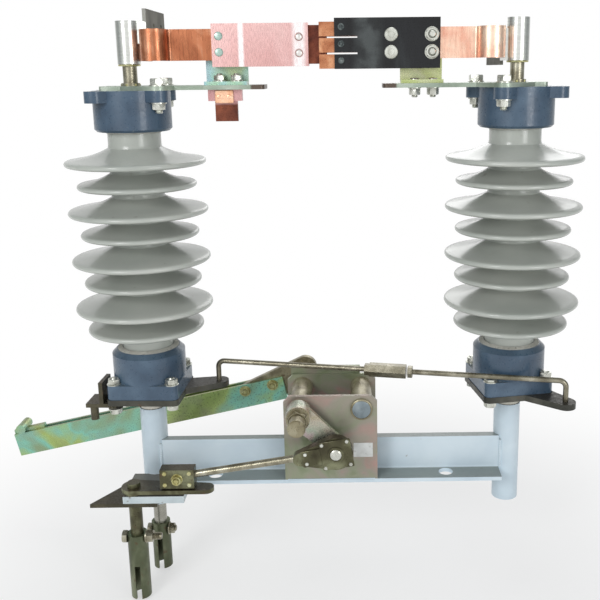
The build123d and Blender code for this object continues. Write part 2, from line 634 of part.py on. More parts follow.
def contact_fingers():
    """Six copper fingers, three on each side of the tongue."""
    fingers = []
    for side in (-1, 1):
        for low, high in finger_rows():
            ends = (side * FINGER_INSIDE, side * FINGER_OUTSIDE)
            finger = block((FINGER_TIP, BRACKET_START), ends, (low, high))
            lead = finger.edges().filter_by(Axis.Z).group_by(Axis.X)[0].sort_by(Axis.Y)
            inner = lead[-1] if side < 0 else lead[0]
            fingers.append(fillet(inner, FINGER_THICKNESS * 0.6))
    return fingers


def leaf_springs():
    """The two black spring plates, slit into three leaves over the fingers."""
    plates = []
    for side in (-1, 1):
        ends = (side * FINGER_OUTSIDE, side * LEAF_OUTSIDE)
        rows = (FINGER_BOTTOM - LEAF_UNDER, FINGER_TOP + LEAF_OVER)
        plate = block((LEAF_TIP, BRACKET_END - BRACKET_PLATE), ends, rows)
        for row in (0, 1):
            low = finger_rows()[row][1]
            plate -= block((LEAF_TIP - 1, LEAF_SLOT_END), ends, (low, low + FINGER_SPACE))
        plates.append(plate)
    return plates


def finger_spacer():
    """The blocks between the right arm's plates, in front of and behind the strap."""
    strap_back = -FINGER_INSIDE + STRAP_THICKNESS
    end = BRACKET_END - BRACKET_PLATE
    rows = (FINGER_BOTTOM, FINGER_TOP)
    spacer = block((SPACER_START, end), (strap_back, FINGER_INSIDE), rows)
    spacer += block((SPACER_START, BRACKET_START), (-FINGER_INSIDE, strap_back), rows)
    for side in (-1, 1):
        spacer += block((BRACKET_START, end), (side * FINGER_INSIDE, side * FINGER_OUTSIDE), rows)
    return spacer


def earth_contact():
    """The copper contact that hangs under the left top plate for the earthing blade."""
    x = LEFT_X + EARTH_PLANE
    half = EARTH_CONTACT_THICKNESS / 2
    strip = block((x - EARTH_CONTACT_WIDTH / 2, x + EARTH_CONTACT_WIDTH / 2), (-half, half),
                  (INSULATOR_TOP - EARTH_CONTACT_DROP, INSULATOR_TOP))
    foot = block((x - EARTH_FOOT_WIDTH / 2, x + EARTH_FOOT_WIDTH / 2), (-half - EARTH_FOOT_DEPTH, -half),
                 (INSULATOR_TOP - EARTH_FOOT_HEIGHT, INSULATOR_TOP))
    return strip + foot


def interlock_bracket():
    """The bracket under the left lever's edge with the pin that blocks the earthing blade."""
    edge = -LEVER_SIDE / 2
    wall = block((edge - 13, edge - 7), (-45, -5), (LEVER_SEAT, LEVER_TOP + 24))
    foot = block((edge - 34, edge + 12), (-45, -5), (LEVER_SEAT - 6, LEVER_SEAT))
    pin = upright(6, LEVER_SEAT - 27, LEVER_SEAT - 6, edge - 24, -37)
    return Pos(LEFT_X, 0, 0) * Rot(0, 0, LEFT_BASE_TURN) * (wall + foot + pin)


def pipe_socket(radius, bottom, top, shaft, lap, x, y):
    """A split socket for an operating pipe: bored from below, and above for its spindle."""
    socket = upright(radius, bottom, top, x, y)
    socket -= upright(SOCKET_BORE, bottom - 1, bottom + SOCKET_DEPTH, x, y)
    socket -= upright(shaft, top - lap, top + 1, x, y)
    slot_ends = (x - SOCKET_SLOT / 2, x + SOCKET_SLOT / 2)
    socket -= block(slot_ends, (y - radius - 1, y), (bottom - 1, bottom + SOCKET_DEPTH))
    return socket


# ---------------------------------------------------------------- earthing blade
def blade_frame():
    """Frame on the blade's plane: X along the blade, Y square to it, Z to the front."""
    return Pos(EARTH_SHAFT_X, EARTH_PLANE, EARTH_SHAFT_Z) * Rot(90, 0, 0) * Rot(0, 0, EARTH_REST_ANGLE)


def earth_shaft():
    """The shaft through the box with the hub of the blade at its back."""
    back = EARTH_PLANE + EARTH_BAR_HALF_GAP + EARTH_BAR_THICKNESS
    return crosswise(EARTH_SHAFT_RADIUS - SHAFT_FIT, EARTH_SHAFT_FRONT, back, EARTH_SHAFT_X, EARTH_SHAFT_Z)


def earth_crank():
    """The crank at the front of the earthing shaft."""
    pin_x, pin_z = polar(EARTH_CRANK_RADIUS, EARTH_CRANK_ANGLE)
    outline = hull_sketch([(0, 0, EARTH_HUB_RADIUS), (pin_x, pin_z, EARTH_HUB_RADIUS * 0.85)])
    plate = extrude(outline, EARTH_CRANK_PLATE)
    hub_front = EARTH_CRANK_PLATE + CRANK_HUB_FRONT
    plate += upright(EARTH_HUB_RADIUS, -CRANK_HUB_BACK, hub_front)
    plate -= upright(EARTH_SHAFT_RADIUS - SHAFT_FIT, -CRANK_HUB_BACK - 1, hub_front + 1)
    frame = Pos(EARTH_SHAFT_X, EARTH_CRANK_FRONT + EARTH_CRANK_PLATE, EARTH_SHAFT_Z) * Rot(90, 0, 0)
    return frame * plate


def earth_hub():
    """The lever on the back of the shaft that the blade's bars are bolted to."""
    outline = hull_sketch([(0, 0, EARTH_HUB_RADIUS), (EARTH_HUB_LENGTH, EARTH_DROP, EARTH_HUB_END),
                           (EARTH_BAR_START, EARTH_DROP, EARTH_HUB_END)])
    plate = Pos(0, 0, -EARTH_BAR_HALF_GAP) * extrude(outline, 2 * EARTH_BAR_HALF_GAP)
    plate -= upright(EARTH_SHAFT_RADIUS - SHAFT_FIT, -2 * EARTH_BAR_HALF_GAP, 2 * EARTH_BAR_HALF_GAP)
    return blade_frame() * plate


def earth_bars():
    """The two flat bars of the earthing blade."""
    bars = []
    for side in (-1, 1):
        near = side * EARTH_BAR_HALF_GAP
        far = side * (EARTH_BAR_HALF_GAP + EARTH_BAR_THICKNESS)
        low, high = EARTH_DROP - EARTH_BAR_HEIGHT / 2, EARTH_DROP + EARTH_BAR_HEIGHT / 2
        bar = block((EARTH_BAR_START, EARTH_BAR_END), (low, high), (near, far))
        bars.append(blade_frame() * bar)
    return bars


def earth_tip():
    """The copper end piece between the bars, with the round contact pad."""
    body = block((EARTH_PAD_REACH - EARTH_TIP_ROOT, EARTH_BAR_END), (0, EARTH_DROP + EARTH_BAR_HEIGHT / 4),
                 (-EARTH_BAR_HALF_GAP, EARTH_BAR_HALF_GAP))
    pad = upright(EARTH_PAD_RADIUS, -EARTH_PAD_HALF, EARTH_PAD_HALF, EARTH_PAD_REACH, -EARTH_PAD_OFFSET)
    return blade_frame() * (body + pad)


# ---------------------------------------------------------------- earthing drive
def earth_lever():
    """The lever on the earthing drive's spindle, with its ball stud."""
    (px, py), (bx, by) = EARTH_PIVOT, EARTH_LEVER_BALL
    top = EARTH_LEVER_BOTTOM + EARTH_LEVER_THICKNESS
    outline = hull_sketch([(px, py, EARTH_LEVER_EYE), (bx + EARTH_LEVER_OVER, by, EARTH_LEVER_END)])
    plate = Pos(0, 0, EARTH_LEVER_BOTTOM) * extrude(outline, EARTH_LEVER_THICKNESS)
    spindle = upright(EARTH_SOCKET_SHAFT, EARTH_SOCKET_TOP - EARTH_SOCKET_LAP, top + 6, px, py)
    spindle += upright(EARTH_SOCKET_SHAFT + 5, BEARING_PLATE_HIGH + SEAT_GAP, EARTH_LEVER_BOTTOM, px, py)
    stud = upright(BALL_STUD_RADIUS, EARTH_LEVER_BOTTOM, EARTH_BALL_HEIGHT, bx, by)
    ball = Pos(bx, by, EARTH_BALL_HEIGHT) * Sphere(BALL_RADIUS)
    return plate + spindle + stud + ball


def earth_link_ends():
    """Centres of the two balls that the drive link joins at rest."""
    pin_x, pin_z = polar(EARTH_CRANK_RADIUS, EARTH_CRANK_ANGLE)
    left = Vector(EARTH_LEVER_BALL[0], EARTH_LEVER_BALL[1], EARTH_BALL_HEIGHT)
    right = Vector(EARTH_SHAFT_X + pin_x, EARTH_CRANK_FRONT - BALL_TO_CRANK, EARTH_SHAFT_Z + pin_z)
    return left, right


def earth_link():
    """The link from the lever to the crank, with a ball housing on each end."""
    left, right = earth_link_ends()
    direction = (right - left).normalized()
    shank_start = left + direction * BALL_RADIUS * 2
    shank_end = right - direction * BALL_RADIUS * 2
    rod_plane = Plane(origin=shank_start, z_dir=direction)
    rod = extrude(rod_plane * Circle(EARTH_LINK_RADIUS), (shank_end - shank_start).length)
    left_block = Pos(*left) * Box(*LEFT_HOUSING)
    left_block -= Pos(*left) * Sphere(BALL_RADIUS + BALL_GAP)
    left_block -= upright(BALL_STUD_RADIUS + 3, left.Z - LEFT_HOUSING[2], left.Z, left.X, left.Y)
    slope = degrees(atan2(direction.Z, direction.X))
    outline = hull_sketch([(0, 0, RIGHT_HOUSING_RADIUS), (-RIGHT_HOUSING_LENGTH, 0, RIGHT_HOUSING_END)])
    plate = Pos(0, 0, -RIGHT_HOUSING_THICKNESS / 2) * extrude(outline, RIGHT_HOUSING_THICKNESS)
    right_block = Pos(*right) * Rot(90, 0, 0) * Rot(0, 0, slope) * plate
    stud = crosswise(BALL_STUD_RADIUS, right.Y, right.Y + BALL_TO_CRANK, right.X, right.Z)
    stud &= Pos(*right) * Sphere(BALL_TO_CRANK - RUN_GAP)
    return left_block, right_block + stud, rod - left_block - right_block


# ---------------------------------------------------------------- writing
def solids_of(shape):
    """Every solid of a shape, a list or a tuple of shapes."""
    if isinstance(shape, (list, tuple)):
        return [solid for piece in shape for solid in solids_of(piece)]
    return list(shape.solids())


def write(name, shape):
    """Move a node into the part's frame and write it as one STEP file."""
    move = Pos(0, ORIGIN_SHIFT, 0)
    solids = [move * solid for solid in solids_of(shape)]
    whole = solids[0] if len(solids) == 1 else Compound(children=solids)
    whole.label = name
    export_step(whole, f"parts/{name}.step")


def build():
    """Every node of the part, by name."""
    nodes = {
        "channel_beam": channel_beam(),
        "left_bearing_tube": bearing_tube(LEFT_X),
        "right_bearing_tube": bearing_tube(RIGHT_X),
        "left_bushes": column_bushes(LEFT_X),
        "right_bushes": column_bushes(RIGHT_X),
        "box_front_plate": box_plate(BOX_FRONT, BEAM_WALL),
        "box_rear_plate": box_plate(BOX_REAR, BOX_REAR_BOTTOM),
        "box_back_strip": box_back_strip(),
        "earth_shaft_tube": box_tube(-1, EARTH_SHAFT_RADIUS),
        "box_spacer_tube": box_tube(1, 0),
        "drive_bearing_plate": drive_bearing_plate(),
        "stop_plate": stop_plate(),
        "left_pipe_socket": pipe_socket(SOCKET_RADIUS, SOCKET_BOTTOM, SOCKET_TOP, SOCKET_SHAFT_RADIUS,
                                        SOCKET_LAP, LEFT_X, 0),
        "interlock_bracket": interlock_bracket(),
        "blade_plates": blade_plates(),
        "blade_spacer": blade_spacer(),
        "contact_tongue": contact_tongue(),
        "contact_fingers": contact_fingers(),
        "leaf_springs": leaf_springs(),
        "finger_spacer": finger_spacer(),
        "earth_contact": earth_contact(),
        "link_rod_left": link_rod_left(),
        "link_rod_right": link_rod_right(),
        "earth_shaft": earth_shaft(),
        "earth_crank": earth_crank(),
        "earth_hub": earth_hub(),
        "earth_bars": earth_bars(),
        "earth_tip": earth_tip(),
        "earth_lever": earth_lever(),
        "earth_pipe_socket": pipe_socket(EARTH_SOCKET_RADIUS, EARTH_SOCKET_BOTTOM, EARTH_SOCKET_TOP,
                                         EARTH_SOCKET_SHAFT, EARTH_SOCKET_LAP, *EARTH_PIVOT),
    }
    left_housing, right_housing, rod = earth_link()
    nodes["earth_link_left_end"] = left_housing
    nodes["earth_link_right_end"] = right_housing
    nodes["earth_link_rod"] = rod
    for side in ("left", "right"):
        stud, head = terminal(side)
        nodes[f"{side}_shaft"] = column_shaft(side)
        nodes[f"{side}_drive_lever"] = drive_lever(side)
        nodes[f"{side}_bottom_cap"] = bottom_cap(side)
        nodes[f"{side}_insulator"] = insulator(side)
        nodes[f"{side}_top_cap"] = top_cap(side)
        nodes[f"{side}_top_plate"] = top_plate(side)
        nodes[f"{side}_terminal_stud"] = stud
        nodes[f"{side}_terminal_head"] = head
        nodes[f"{side}_strap"] = flexible_strap(side)
        nodes[f"{side}_bracket"] = contact_bracket(side)
    return nodes


if __name__ == "__main__":
    os.makedirs("parts", exist_ok=True)
    for node_name, node_shape in build().items():
        write(node_name, node_shape)
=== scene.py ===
import bmesh
import bpy
import json
from math import atan2, cos, pi, radians, sin
from mathutils import Matrix, Vector


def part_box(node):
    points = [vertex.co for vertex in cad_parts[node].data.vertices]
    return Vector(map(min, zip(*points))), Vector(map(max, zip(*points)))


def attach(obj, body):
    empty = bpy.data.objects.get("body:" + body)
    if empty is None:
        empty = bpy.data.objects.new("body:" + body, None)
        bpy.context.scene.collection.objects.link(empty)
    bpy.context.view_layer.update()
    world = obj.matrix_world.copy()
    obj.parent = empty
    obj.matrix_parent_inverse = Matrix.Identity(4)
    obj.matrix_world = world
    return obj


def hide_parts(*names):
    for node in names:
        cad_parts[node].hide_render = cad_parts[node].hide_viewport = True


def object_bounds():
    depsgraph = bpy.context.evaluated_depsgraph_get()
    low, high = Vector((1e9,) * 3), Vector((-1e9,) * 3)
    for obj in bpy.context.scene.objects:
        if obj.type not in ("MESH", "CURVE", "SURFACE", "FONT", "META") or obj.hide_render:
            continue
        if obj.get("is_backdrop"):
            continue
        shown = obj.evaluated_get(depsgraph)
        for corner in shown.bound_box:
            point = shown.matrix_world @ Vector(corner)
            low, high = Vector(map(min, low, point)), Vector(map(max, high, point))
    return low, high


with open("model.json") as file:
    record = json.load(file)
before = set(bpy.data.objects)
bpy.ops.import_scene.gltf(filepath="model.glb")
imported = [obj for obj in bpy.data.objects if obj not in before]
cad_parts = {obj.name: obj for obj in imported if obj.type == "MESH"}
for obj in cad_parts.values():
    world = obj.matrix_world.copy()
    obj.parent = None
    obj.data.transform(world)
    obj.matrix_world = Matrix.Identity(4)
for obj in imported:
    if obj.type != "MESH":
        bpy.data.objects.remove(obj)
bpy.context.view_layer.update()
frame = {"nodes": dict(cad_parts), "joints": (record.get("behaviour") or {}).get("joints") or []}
NODES = frame["nodes"]
AXLES = {joint["name"]: Vector(joint["pos_m"]) * 1000 for joint in frame["joints"]}


def edges(node):
    """Lowest and highest corner of a node at rest, in millimetres."""
    low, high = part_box(node)
    return low * 1000, high * 1000


# ---------------------------------------------------------------- camera
CAMERA_PLACE = (0.03796, -1.18285, 0.61444)    # metres
CAMERA_LENS, SENSOR_WIDTH = 50.0, 36.0    # millimetres
CAMERA_YAW = 0.396    # degrees, as are the next two
CAMERA_PITCH = 12.746
CAMERA_ROLL = -0.6006
CAMERA_SHIFT = (-0.0975, -0.0711)


def make_camera():
    """The view from the front, a little above the beam and looking down on it."""
    yaw, pitch, roll = radians(CAMERA_YAW), radians(CAMERA_PITCH), radians(CAMERA_ROLL)
    forward = Vector((sin(yaw) * cos(pitch), cos(yaw) * cos(pitch), -sin(pitch)))
    level = Vector((cos(yaw), -sin(yaw), 0.0))
    up = level.cross(forward)
    right = level * cos(roll) + up * sin(roll)
    up = right.cross(forward)
    turn = Matrix((right, up, -forward)).transposed().to_4x4()
    data = bpy.data.cameras.new("camera")
    data.lens = CAMERA_LENS
    data.sensor_width = SENSOR_WIDTH
    data.shift_x, data.shift_y = CAMERA_SHIFT
    camera = bpy.data.objects.new("camera", data)
    camera.matrix_world = Matrix.Translation(CAMERA_PLACE) @ turn
    bpy.context.scene.collection.objects.link(camera)
    bpy.context.scene.camera = camera


make_camera()


# ---------------------------------------------------------------- materials
def shade(red, green, blue):
    """A display colour, 0 to 255, as the linear one that a shader takes."""
    def linear(value):
        value /= 255
        return value / 12.92 if value <= 0.04045 else ((value + 0.055) / 1.055) ** 2.4
    return (linear(red), linear(green), linear(blue), 1.0)


RUST = shade(92, 74, 54)
DULL_ZINC = shade(150, 146, 132)
SPOT_EDGE = 0.12    # the step of the noise over which a speck fades in
CLOUD_START, CLOUD_SPAN = 0.32, 0.36    # the part of the noise over which plated colours change
COAT_ROUGHNESS = 0.08


class Paint:
    """A node material that is put together from noise, ramps and masks in object space."""

    def __init__(self, name, metal=0.0, coat=0.0, specular=0.5):
        self.material = bpy.data.materials.new(name)
        self.material.use_nodes = True
        self.tree = self.material.node_tree
        self.shader = self.tree.nodes["Principled BSDF"]
        self.shader.inputs["Metallic"].default_value = metal
        self.shader.inputs["Specular IOR Level"].default_value = specular
        if coat:
            self.shader.inputs["Coat Weight"].default_value = coat
            self.shader.inputs["Coat Roughness"].default_value = COAT_ROUGHNESS
        self.place = self.node("ShaderNodeTexCoord").outputs["Object"]

    def node(self, kind):
        return self.tree.nodes.new(kind)

    def link(self, source, target):
        if isinstance(source, (int, float, tuple)):
            target.default_value = source
        else:
            self.tree.links.new(source, target)

    def noise(self, scale, detail=3.0, stretch=None, distortion=0.0):
        """Noise from 0 to 1; stretch scales it along each axis, so a small number draws it out."""
        place = self.place
        if stretch:
            mapping = self.node("ShaderNodeMapping")
            mapping.inputs["Scale"].default_value = stretch
            self.link(place, mapping.inputs["Vector"])
            place = mapping.outputs["Vector"]
        noise = self.node("ShaderNodeTexNoise")
        noise.inputs["Scale"].default_value = scale
        noise.inputs["Detail"].default_value = detail
        noise.inputs["Distortion"].default_value = distortion
        self.link(place, noise.inputs["Vector"])
        return noise.outputs["Fac"]

    def ramp(self, factor, stops):
        """Colours blended along a factor, from pairs of a place and a colour."""
        ramp = self.node("ShaderNodeValToRGB")
        elements = ramp.color_ramp.elements
        while len(elements) < len(stops):
            elements.new(0.5)
        for element, (place, colour) in zip(elements, stops):
            element.position = place
            element.color = colour
        self.link(factor, ramp.inputs["Fac"])
        return ramp.outputs["Color"]

    def fit(self, value, low, high, start=0.0, end=1.0):
        """A value between low and high, turned smoothly into one between start and end."""
        fit = self.node("ShaderNodeMapRange")
        fit.interpolation_type = "SMOOTHSTEP"
        for socket, number in zip(("From Min", "From Max", "To Min", "To Max"), (low, high, start, end)):
            fit.inputs[socket].default_value = number
        self.link(value, fit.inputs["Value"])
        return fit.outputs["Result"]

    def math(self, operation, first, second=0.0):
        node = self.node("ShaderNodeMath")
        node.operation = operation
        self.link(first, node.inputs[0])
        self.link(second, node.inputs[1])
        return node.outputs["Value"]

    def mix(self, factor, first, second):
        mix = self.node("ShaderNodeMix")
        mix.data_type = "RGBA"
        self.link(factor, mix.inputs[0])
        self.link(first, mix.inputs[6])
        self.link(second, mix.inputs[7])
        return mix.outputs[2]

    def speckled(self, colour, spot, scale, start, strength):
        """Small spots of another colour, where fine noise passes a level."""
        spots = self.fit(self.noise(scale, 2.0), start, start + SPOT_EDGE, 0.0, strength)
        return self.mix(spots, colour, spot)

    def along(self, axis):
        parts = self.node("ShaderNodeSeparateXYZ")
        self.link(self.place, parts.inputs["Vector"])
        return parts.outputs[axis]

    def facing(self):
        """How far a face looks up, from 1 down to -1."""
        parts = self.node("ShaderNodeSeparateXYZ")
        self.link(self.node("ShaderNodeNewGeometry").outputs["Normal"], parts.inputs["Vector"])
        return parts.outputs["Z"]

    def band(self, axis, middle, width):
        """1 on a stripe across the axis, in metres, and 0 away from it."""
        away = self.math("ABSOLUTE", self.math("SUBTRACT", self.along(axis), middle))
        return self.fit(away, width * 0.25, width * 0.75, 1.0, 0.0)

    def surface(self, colour, rough, grain=500.0, bump=0.1, depth=0.0001, stretch=None):
        """The finished material, with roughness between two values and a fine bump, depth in metres."""
        self.link(colour, self.shader.inputs["Base Color"])
        fine = self.noise(grain, 4.0, stretch)
        self.link(self.fit(fine, 0.3, 0.7, *rough), self.shader.inputs["Roughness"])
        if bump:
            node = self.node("ShaderNodeBump")
            node.inputs["Strength"].default_value = bump
            node.inputs["Distance"].default_value = depth
            self.link(fine, node.inputs["Height"])
            self.link(node.outputs["Normal"], self.shader.inputs["Normal"])
        return self.material


def mottled(name, dark, middle, light, rough, metal=0.0, scale=35.0, top=None, under=None, specks=None,
            coat=0.0, grain=500.0, bump=0.1, depth=0.0001, stretch=None, specular=0.5):
    """Three shades spread by noise, with another colour on faces that look up, which is painted shade on the
    beam, and painted shade on faces that look down, and specks.
    """
    paint = Paint(name, metal, coat, specular)
    colour = paint.ramp(paint.noise(scale, 5.0, stretch, 0.3), ((0.3, dark), (0.5, middle), (0.7, light)))
    # another colour on faces that look up: darker or lighter by finish, painted shade on the beam
    if top:
        above = paint.fit(paint.facing(), 0.6, 0.95)
        colour = paint.mix(paint.math("MULTIPLY", above, top[1]), colour, top[0])
    # painted shade: a darker colour on faces that look down
    if under:
        below = paint.fit(paint.facing(), -0.2, -0.9, 0.0, under[1])
        patches = paint.fit(paint.noise(9.0), 0.25, 0.6, 0.5, 1.0)
        colour = paint.mix(paint.math("MULTIPLY", below, patches), colour, under[0])
    if specks:
        colour = paint.speckled(colour, *specks)
    return paint.surface(colour, rough, grain, bump, depth, stretch)


def plated(name, colours, rough=(0.22, 0.42), metal=0.75, scale=14.0, upward_tint=None, specks=None, along=None):
    """Passivated zinc: soft clouds of yellow, green, blue and violet over metal."""
    paint = Paint(name, metal)
    clouds = paint.noise(scale, 3.0, along, 0.8)
    count = len(colours) - 1
    colour = paint.ramp(clouds, [(CLOUD_START + CLOUD_SPAN * i / count, c) for i, c in enumerate(colours)])
    dulled = paint.fit(paint.noise(30.0, 2.0), 0.42, 0.75, 0.0, 0.35)
    colour = paint.mix(dulled, colour, DULL_ZINC)
    # another colour laid on faces that look up
    if upward_tint:
        edge = paint.fit(paint.facing(), 0.5, 0.95, 0.0, upward_tint[1])
        colour = paint.mix(edge, colour, upward_tint[0])
    if specks:
        colour = paint.speckled(colour, *specks)
    return paint.surface(colour, rough, 420.0, 0.08, 0.0001)


# The darker colour on the beam's upward faces is painted shade, where the flanges shade the ledges; the
# darker colour on its downward faces is painted shade too.
beam_paint = mottled(
    "beam_paint", shade(194, 211, 222), shade(207, 223, 233), shade(218, 232, 240), (0.28, 0.45),
    scale=11.0, top=(shade(128, 136, 130), 0.85), under=(shade(150, 160, 160), 0.7),
    specks=(shade(120, 110, 98), 90.0, 0.705, 0.8), grain=260.0, bump=0.1, depth=0.0005)
# The darker colour on the undersides of the sheds is painted shade.
porcelain = mottled(
    "porcelain_glaze", shade(176, 181, 174), shade(187, 191, 184), shade(194, 197, 190), (0.21, 0.26),
    scale=9.0, under=(shade(128, 130, 122), 0.6), specks=(shade(150, 148, 138), 60.0, 0.68, 0.5),
    coat=0.15, grain=40.0, bump=0.02, depth=0.0001)
cap_paint = mottled(
    "cap_paint", shade(52, 72, 92), shade(64, 86, 107), shade(82, 104, 124), (0.26, 0.42), scale=24.0,
    top=(shade(112, 126, 132), 0.55), specks=(shade(140, 146, 144), 110.0, 0.7, 0.4),
    coat=0.2, grain=260.0, bump=0.3, depth=0.0005)
cement = mottled(
    "cement", shade(176, 174, 166), shade(198, 196, 188), shade(214, 212, 204), (0.7, 0.9), scale=60.0,
    specks=(shade(120, 116, 108), 200.0, 0.62, 0.7), grain=700.0, bump=0.4, depth=0.0008)
lever_steel = mottled(
    "lever_steel", shade(46, 47, 42), shade(64, 64, 57), shade(94, 93, 84), (0.35, 0.6), metal=0.35,
    scale=22.0, top=(shade(52, 46, 40), 0.6), specks=(RUST, 80.0, 0.64, 0.7), grain=380.0, bump=0.2)
dark_steel = mottled(
    "dark_steel", shade(52, 48, 36), shade(70, 66, 50), shade(106, 100, 78), (0.35, 0.6), metal=0.4,
    scale=20.0, top=(shade(66, 56, 42), 0.7), specks=(RUST, 70.0, 0.62, 0.8), grain=380.0, bump=0.25)
shaft_steel = mottled(
    "shaft_steel", shade(150, 148, 138), shade(176, 174, 164), shade(198, 196, 188), (0.22, 0.4), metal=0.8,
    scale=30.0, specks=(RUST, 110.0, 0.68, 0.6), grain=900.0, bump=0.1, stretch=(0.15, 0.15, 1.0))
disc_grey = mottled(
    "disc_grey", shade(112, 124, 128), shade(132, 144, 150), shade(150, 160, 164), (0.3, 0.5), metal=0.4,
    scale=50.0, specks=(RUST, 110.0, 0.68, 0.6), grain=700.0, bump=0.12)
bronze = mottled(
    "bush_bronze", shade(140, 112, 64), shade(164, 136, 82), shade(184, 156, 104), (0.3, 0.5), metal=0.8,
    scale=60.0, grain=800.0, bump=0.1)
socket_olive = mottled(
    "socket_olive", shade(62, 66, 46), shade(92, 98, 74), shade(142, 146, 120), (0.28, 0.5), metal=0.55,
    scale=26.0, specks=(RUST, 90.0, 0.62, 0.8), grain=420.0, bump=0.2, stretch=(1.0, 1.0, 0.35))
rod_zinc = mottled(
    "rod_zinc", shade(120, 114, 94), shade(158, 153, 134), shade(192, 190, 174), (0.2, 0.4), metal=0.8,
    scale=50.0, specks=(RUST, 130.0, 0.69, 0.6), grain=900.0, bump=0.1)
cross_rod = mottled(
    "cross_rod", shade(98, 92, 76), shade(130, 125, 108), shade(176, 171, 154), (0.22, 0.42), metal=0.75,
    scale=40.0, specks=(RUST, 110.0, 0.66, 0.6), grain=900.0, bump=0.1)
drive_olive = mottled(
    "drive_olive", shade(58, 54, 36), shade(86, 84, 60), shade(140, 142, 112), (0.26, 0.46), metal=0.55,
    scale=30.0, top=(shade(62, 50, 36), 0.75), specks=(RUST, 90.0, 0.64, 0.7), grain=500.0, bump=0.15)
# Darker brown on faces that look up; the darker colour on faces that look down is painted shade.
bearing_paint = mottled(
    "bearing_paint", shade(180, 192, 196), shade(200, 212, 216), shade(214, 224, 228), (0.28, 0.45),
    scale=18.0, top=(shade(92, 84, 72), 0.9), under=(shade(110, 104, 92), 0.8),
    specks=(RUST, 90.0, 0.66, 0.7), grain=300.0, bump=0.15)
bright_zinc = mottled(
    "bright_zinc", shade(178, 178, 168), shade(204, 205, 196), shade(226, 228, 220), (0.18, 0.36), metal=0.8,
    scale=80.0, specks=(shade(110, 100, 80), 160.0, 0.68, 0.7), grain=900.0, bump=0.12)
yellow_zinc = mottled(
    "yellow_zinc", shade(150, 140, 88), shade(184, 178, 124), shade(204, 206, 168), (0.2, 0.4), metal=0.75,
    scale=70.0, specks=(shade(104, 90, 60), 150.0, 0.66, 0.7), grain=900.0, bump=0.12)
bearing_end = mottled(
    "bearing_end", shade(112, 104, 82), shade(146, 138, 112), shade(172, 166, 142), (0.25, 0.5), metal=0.6,
    scale=60.0, specks=(RUST, 120.0, 0.62, 0.7), grain=600.0, bump=0.25)

box_plate = plated(
    "box_plate", (shade(126, 136, 104), shade(146, 152, 128), shade(158, 150, 138), shade(184, 142, 136)),
    (0.3, 0.5), 0.45, 16.0)
arm_zinc = plated(
    "arm_zinc", (shade(132, 148, 84), shade(166, 186, 112), shade(134, 196, 176), shade(140, 164, 128)),
    (0.24, 0.44), 0.6, 9.0, upward_tint=(shade(140, 136, 92), 0.6))
crank_zinc = plated(
    "crank_zinc", (shade(168, 158, 128), shade(190, 182, 166), shade(168, 178, 160), shade(188, 164, 168)),
    (0.2, 0.4), 0.72, 22.0, specks=(shade(108, 90, 60), 120.0, 0.68, 0.6))
left_bracket_zinc = plated(
    "left_bracket_zinc",
    (shade(206, 218, 150), shade(184, 220, 186), shade(174, 218, 222), shade(190, 178, 214)),
    (0.2, 0.4), 0.4, 20.0, along=(1.0, 0.2, 0.4))
right_bracket_zinc = plated(
    "right_bracket_zinc",
    (shade(162, 174, 104), shade(202, 214, 146), shade(218, 224, 178), shade(172, 190, 136)),
    (0.2, 0.4), 0.4, 18.0, along=(0.4, 0.2, 1.0))


def top_plate_paint():
    """Dull green zinc, darkened at the end of each plate that reaches towards the other column."""
    paint = Paint("top_plate_zinc", 0.45)
    colour = paint.ramp(paint.noise(26.0, 5.0), ((0.3, shade(134, 148, 132)), (0.5, shade(162, 175, 160)),
                                                 (0.7, shade(188, 198, 184))))
    reach = paint.math("ABSOLUTE", paint.along("X"))
    tip = abs(edges("right_top_plate")[0].x) / 1000
    dark_length, fade = 0.017, 0.004
    dark = paint.fit(reach, tip + dark_length, tip + dark_length + fade, 1.0, 0.0)
    colour = paint.mix(dark, colour, shade(92, 80, 70))
    return paint.surface(colour, (0.28, 0.5), 400.0, 0.12)


def head_paint():
    """Turned metal on the head, and the same casting left dull on the palm behind it."""
    paint = Paint("terminal_metal")
    marks = paint.noise(1.0, 2.0, (2.0, 2.0, 700.0))
    colour = paint.ramp(marks, ((0.3, shade(206, 208, 202)), (0.7, shade(222, 224, 220))))
    palm_length = 0.122
    start = edges("left_terminal_head")[1].y / 1000 - palm_length
    palm = paint.fit(paint.along("Y"), start - 0.006, start + 0.004)
    dull = paint.ramp(paint.noise(40.0, 5.0), ((0.3, shade(92, 89, 80)), (0.7, shade(124, 121, 112))))
    colour = paint.mix(palm, colour, dull)
    paint.link(paint.fit(palm, 0.0, 1.0, 0.85, 0.1), paint.shader.inputs["Metallic"])
    material = paint.surface(colour, (0.2, 0.28), 500.0, 0.03, 0.00002, (0.1, 0.1, 1.0))
    paint.link(paint.fit(palm, 0.0, 1.0, 0.24, 0.75), paint.shader.inputs["Roughness"])
    return material


def blade_paint():
    """Bright rolled copper, with near-white painted highlights in two upright bands where the plates are
    creased.
    """
    paint = Paint("blade_copper", 0.72)
    low, high = edges("blade_plates")
    long = paint.noise(10.0, 4.0, (1.0, 1.0, 0.5), 0.8)
    colour = paint.ramp(long, ((0.3, shade(216, 166, 162)), (0.5, shade(228, 184, 181)),
                               (0.7, shade(236, 200, 196))))
    # end distance and width of each painted highlight band, at the creased places of the plates
    highlight_bands = ((41.0, 7.0), (122.0, 16.0))
    for from_end, width in highlight_bands:
        pale = paint.band("X", (low.x + from_end) / 1000, width / 1000)
        highlight_strength = paint.fit(paint.noise(30.0, 4.0), 0.25, 0.6, 0.7, 0.95)
        colour = paint.mix(paint.math("MULTIPLY", pale, highlight_strength), colour, shade(255, 250, 250))
    scratch = paint.fit(paint.noise(60.0, 3.0, (3.0, 1.0, 0.5), 1.5), 0.58, 0.72, 0.0, 0.3)
    colour = paint.mix(scratch, colour, shade(214, 156, 156))
    return paint.surface(colour, (0.2, 0.4), 900.0, 0.1, 0.00002, (1.0, 1.0, 0.15))


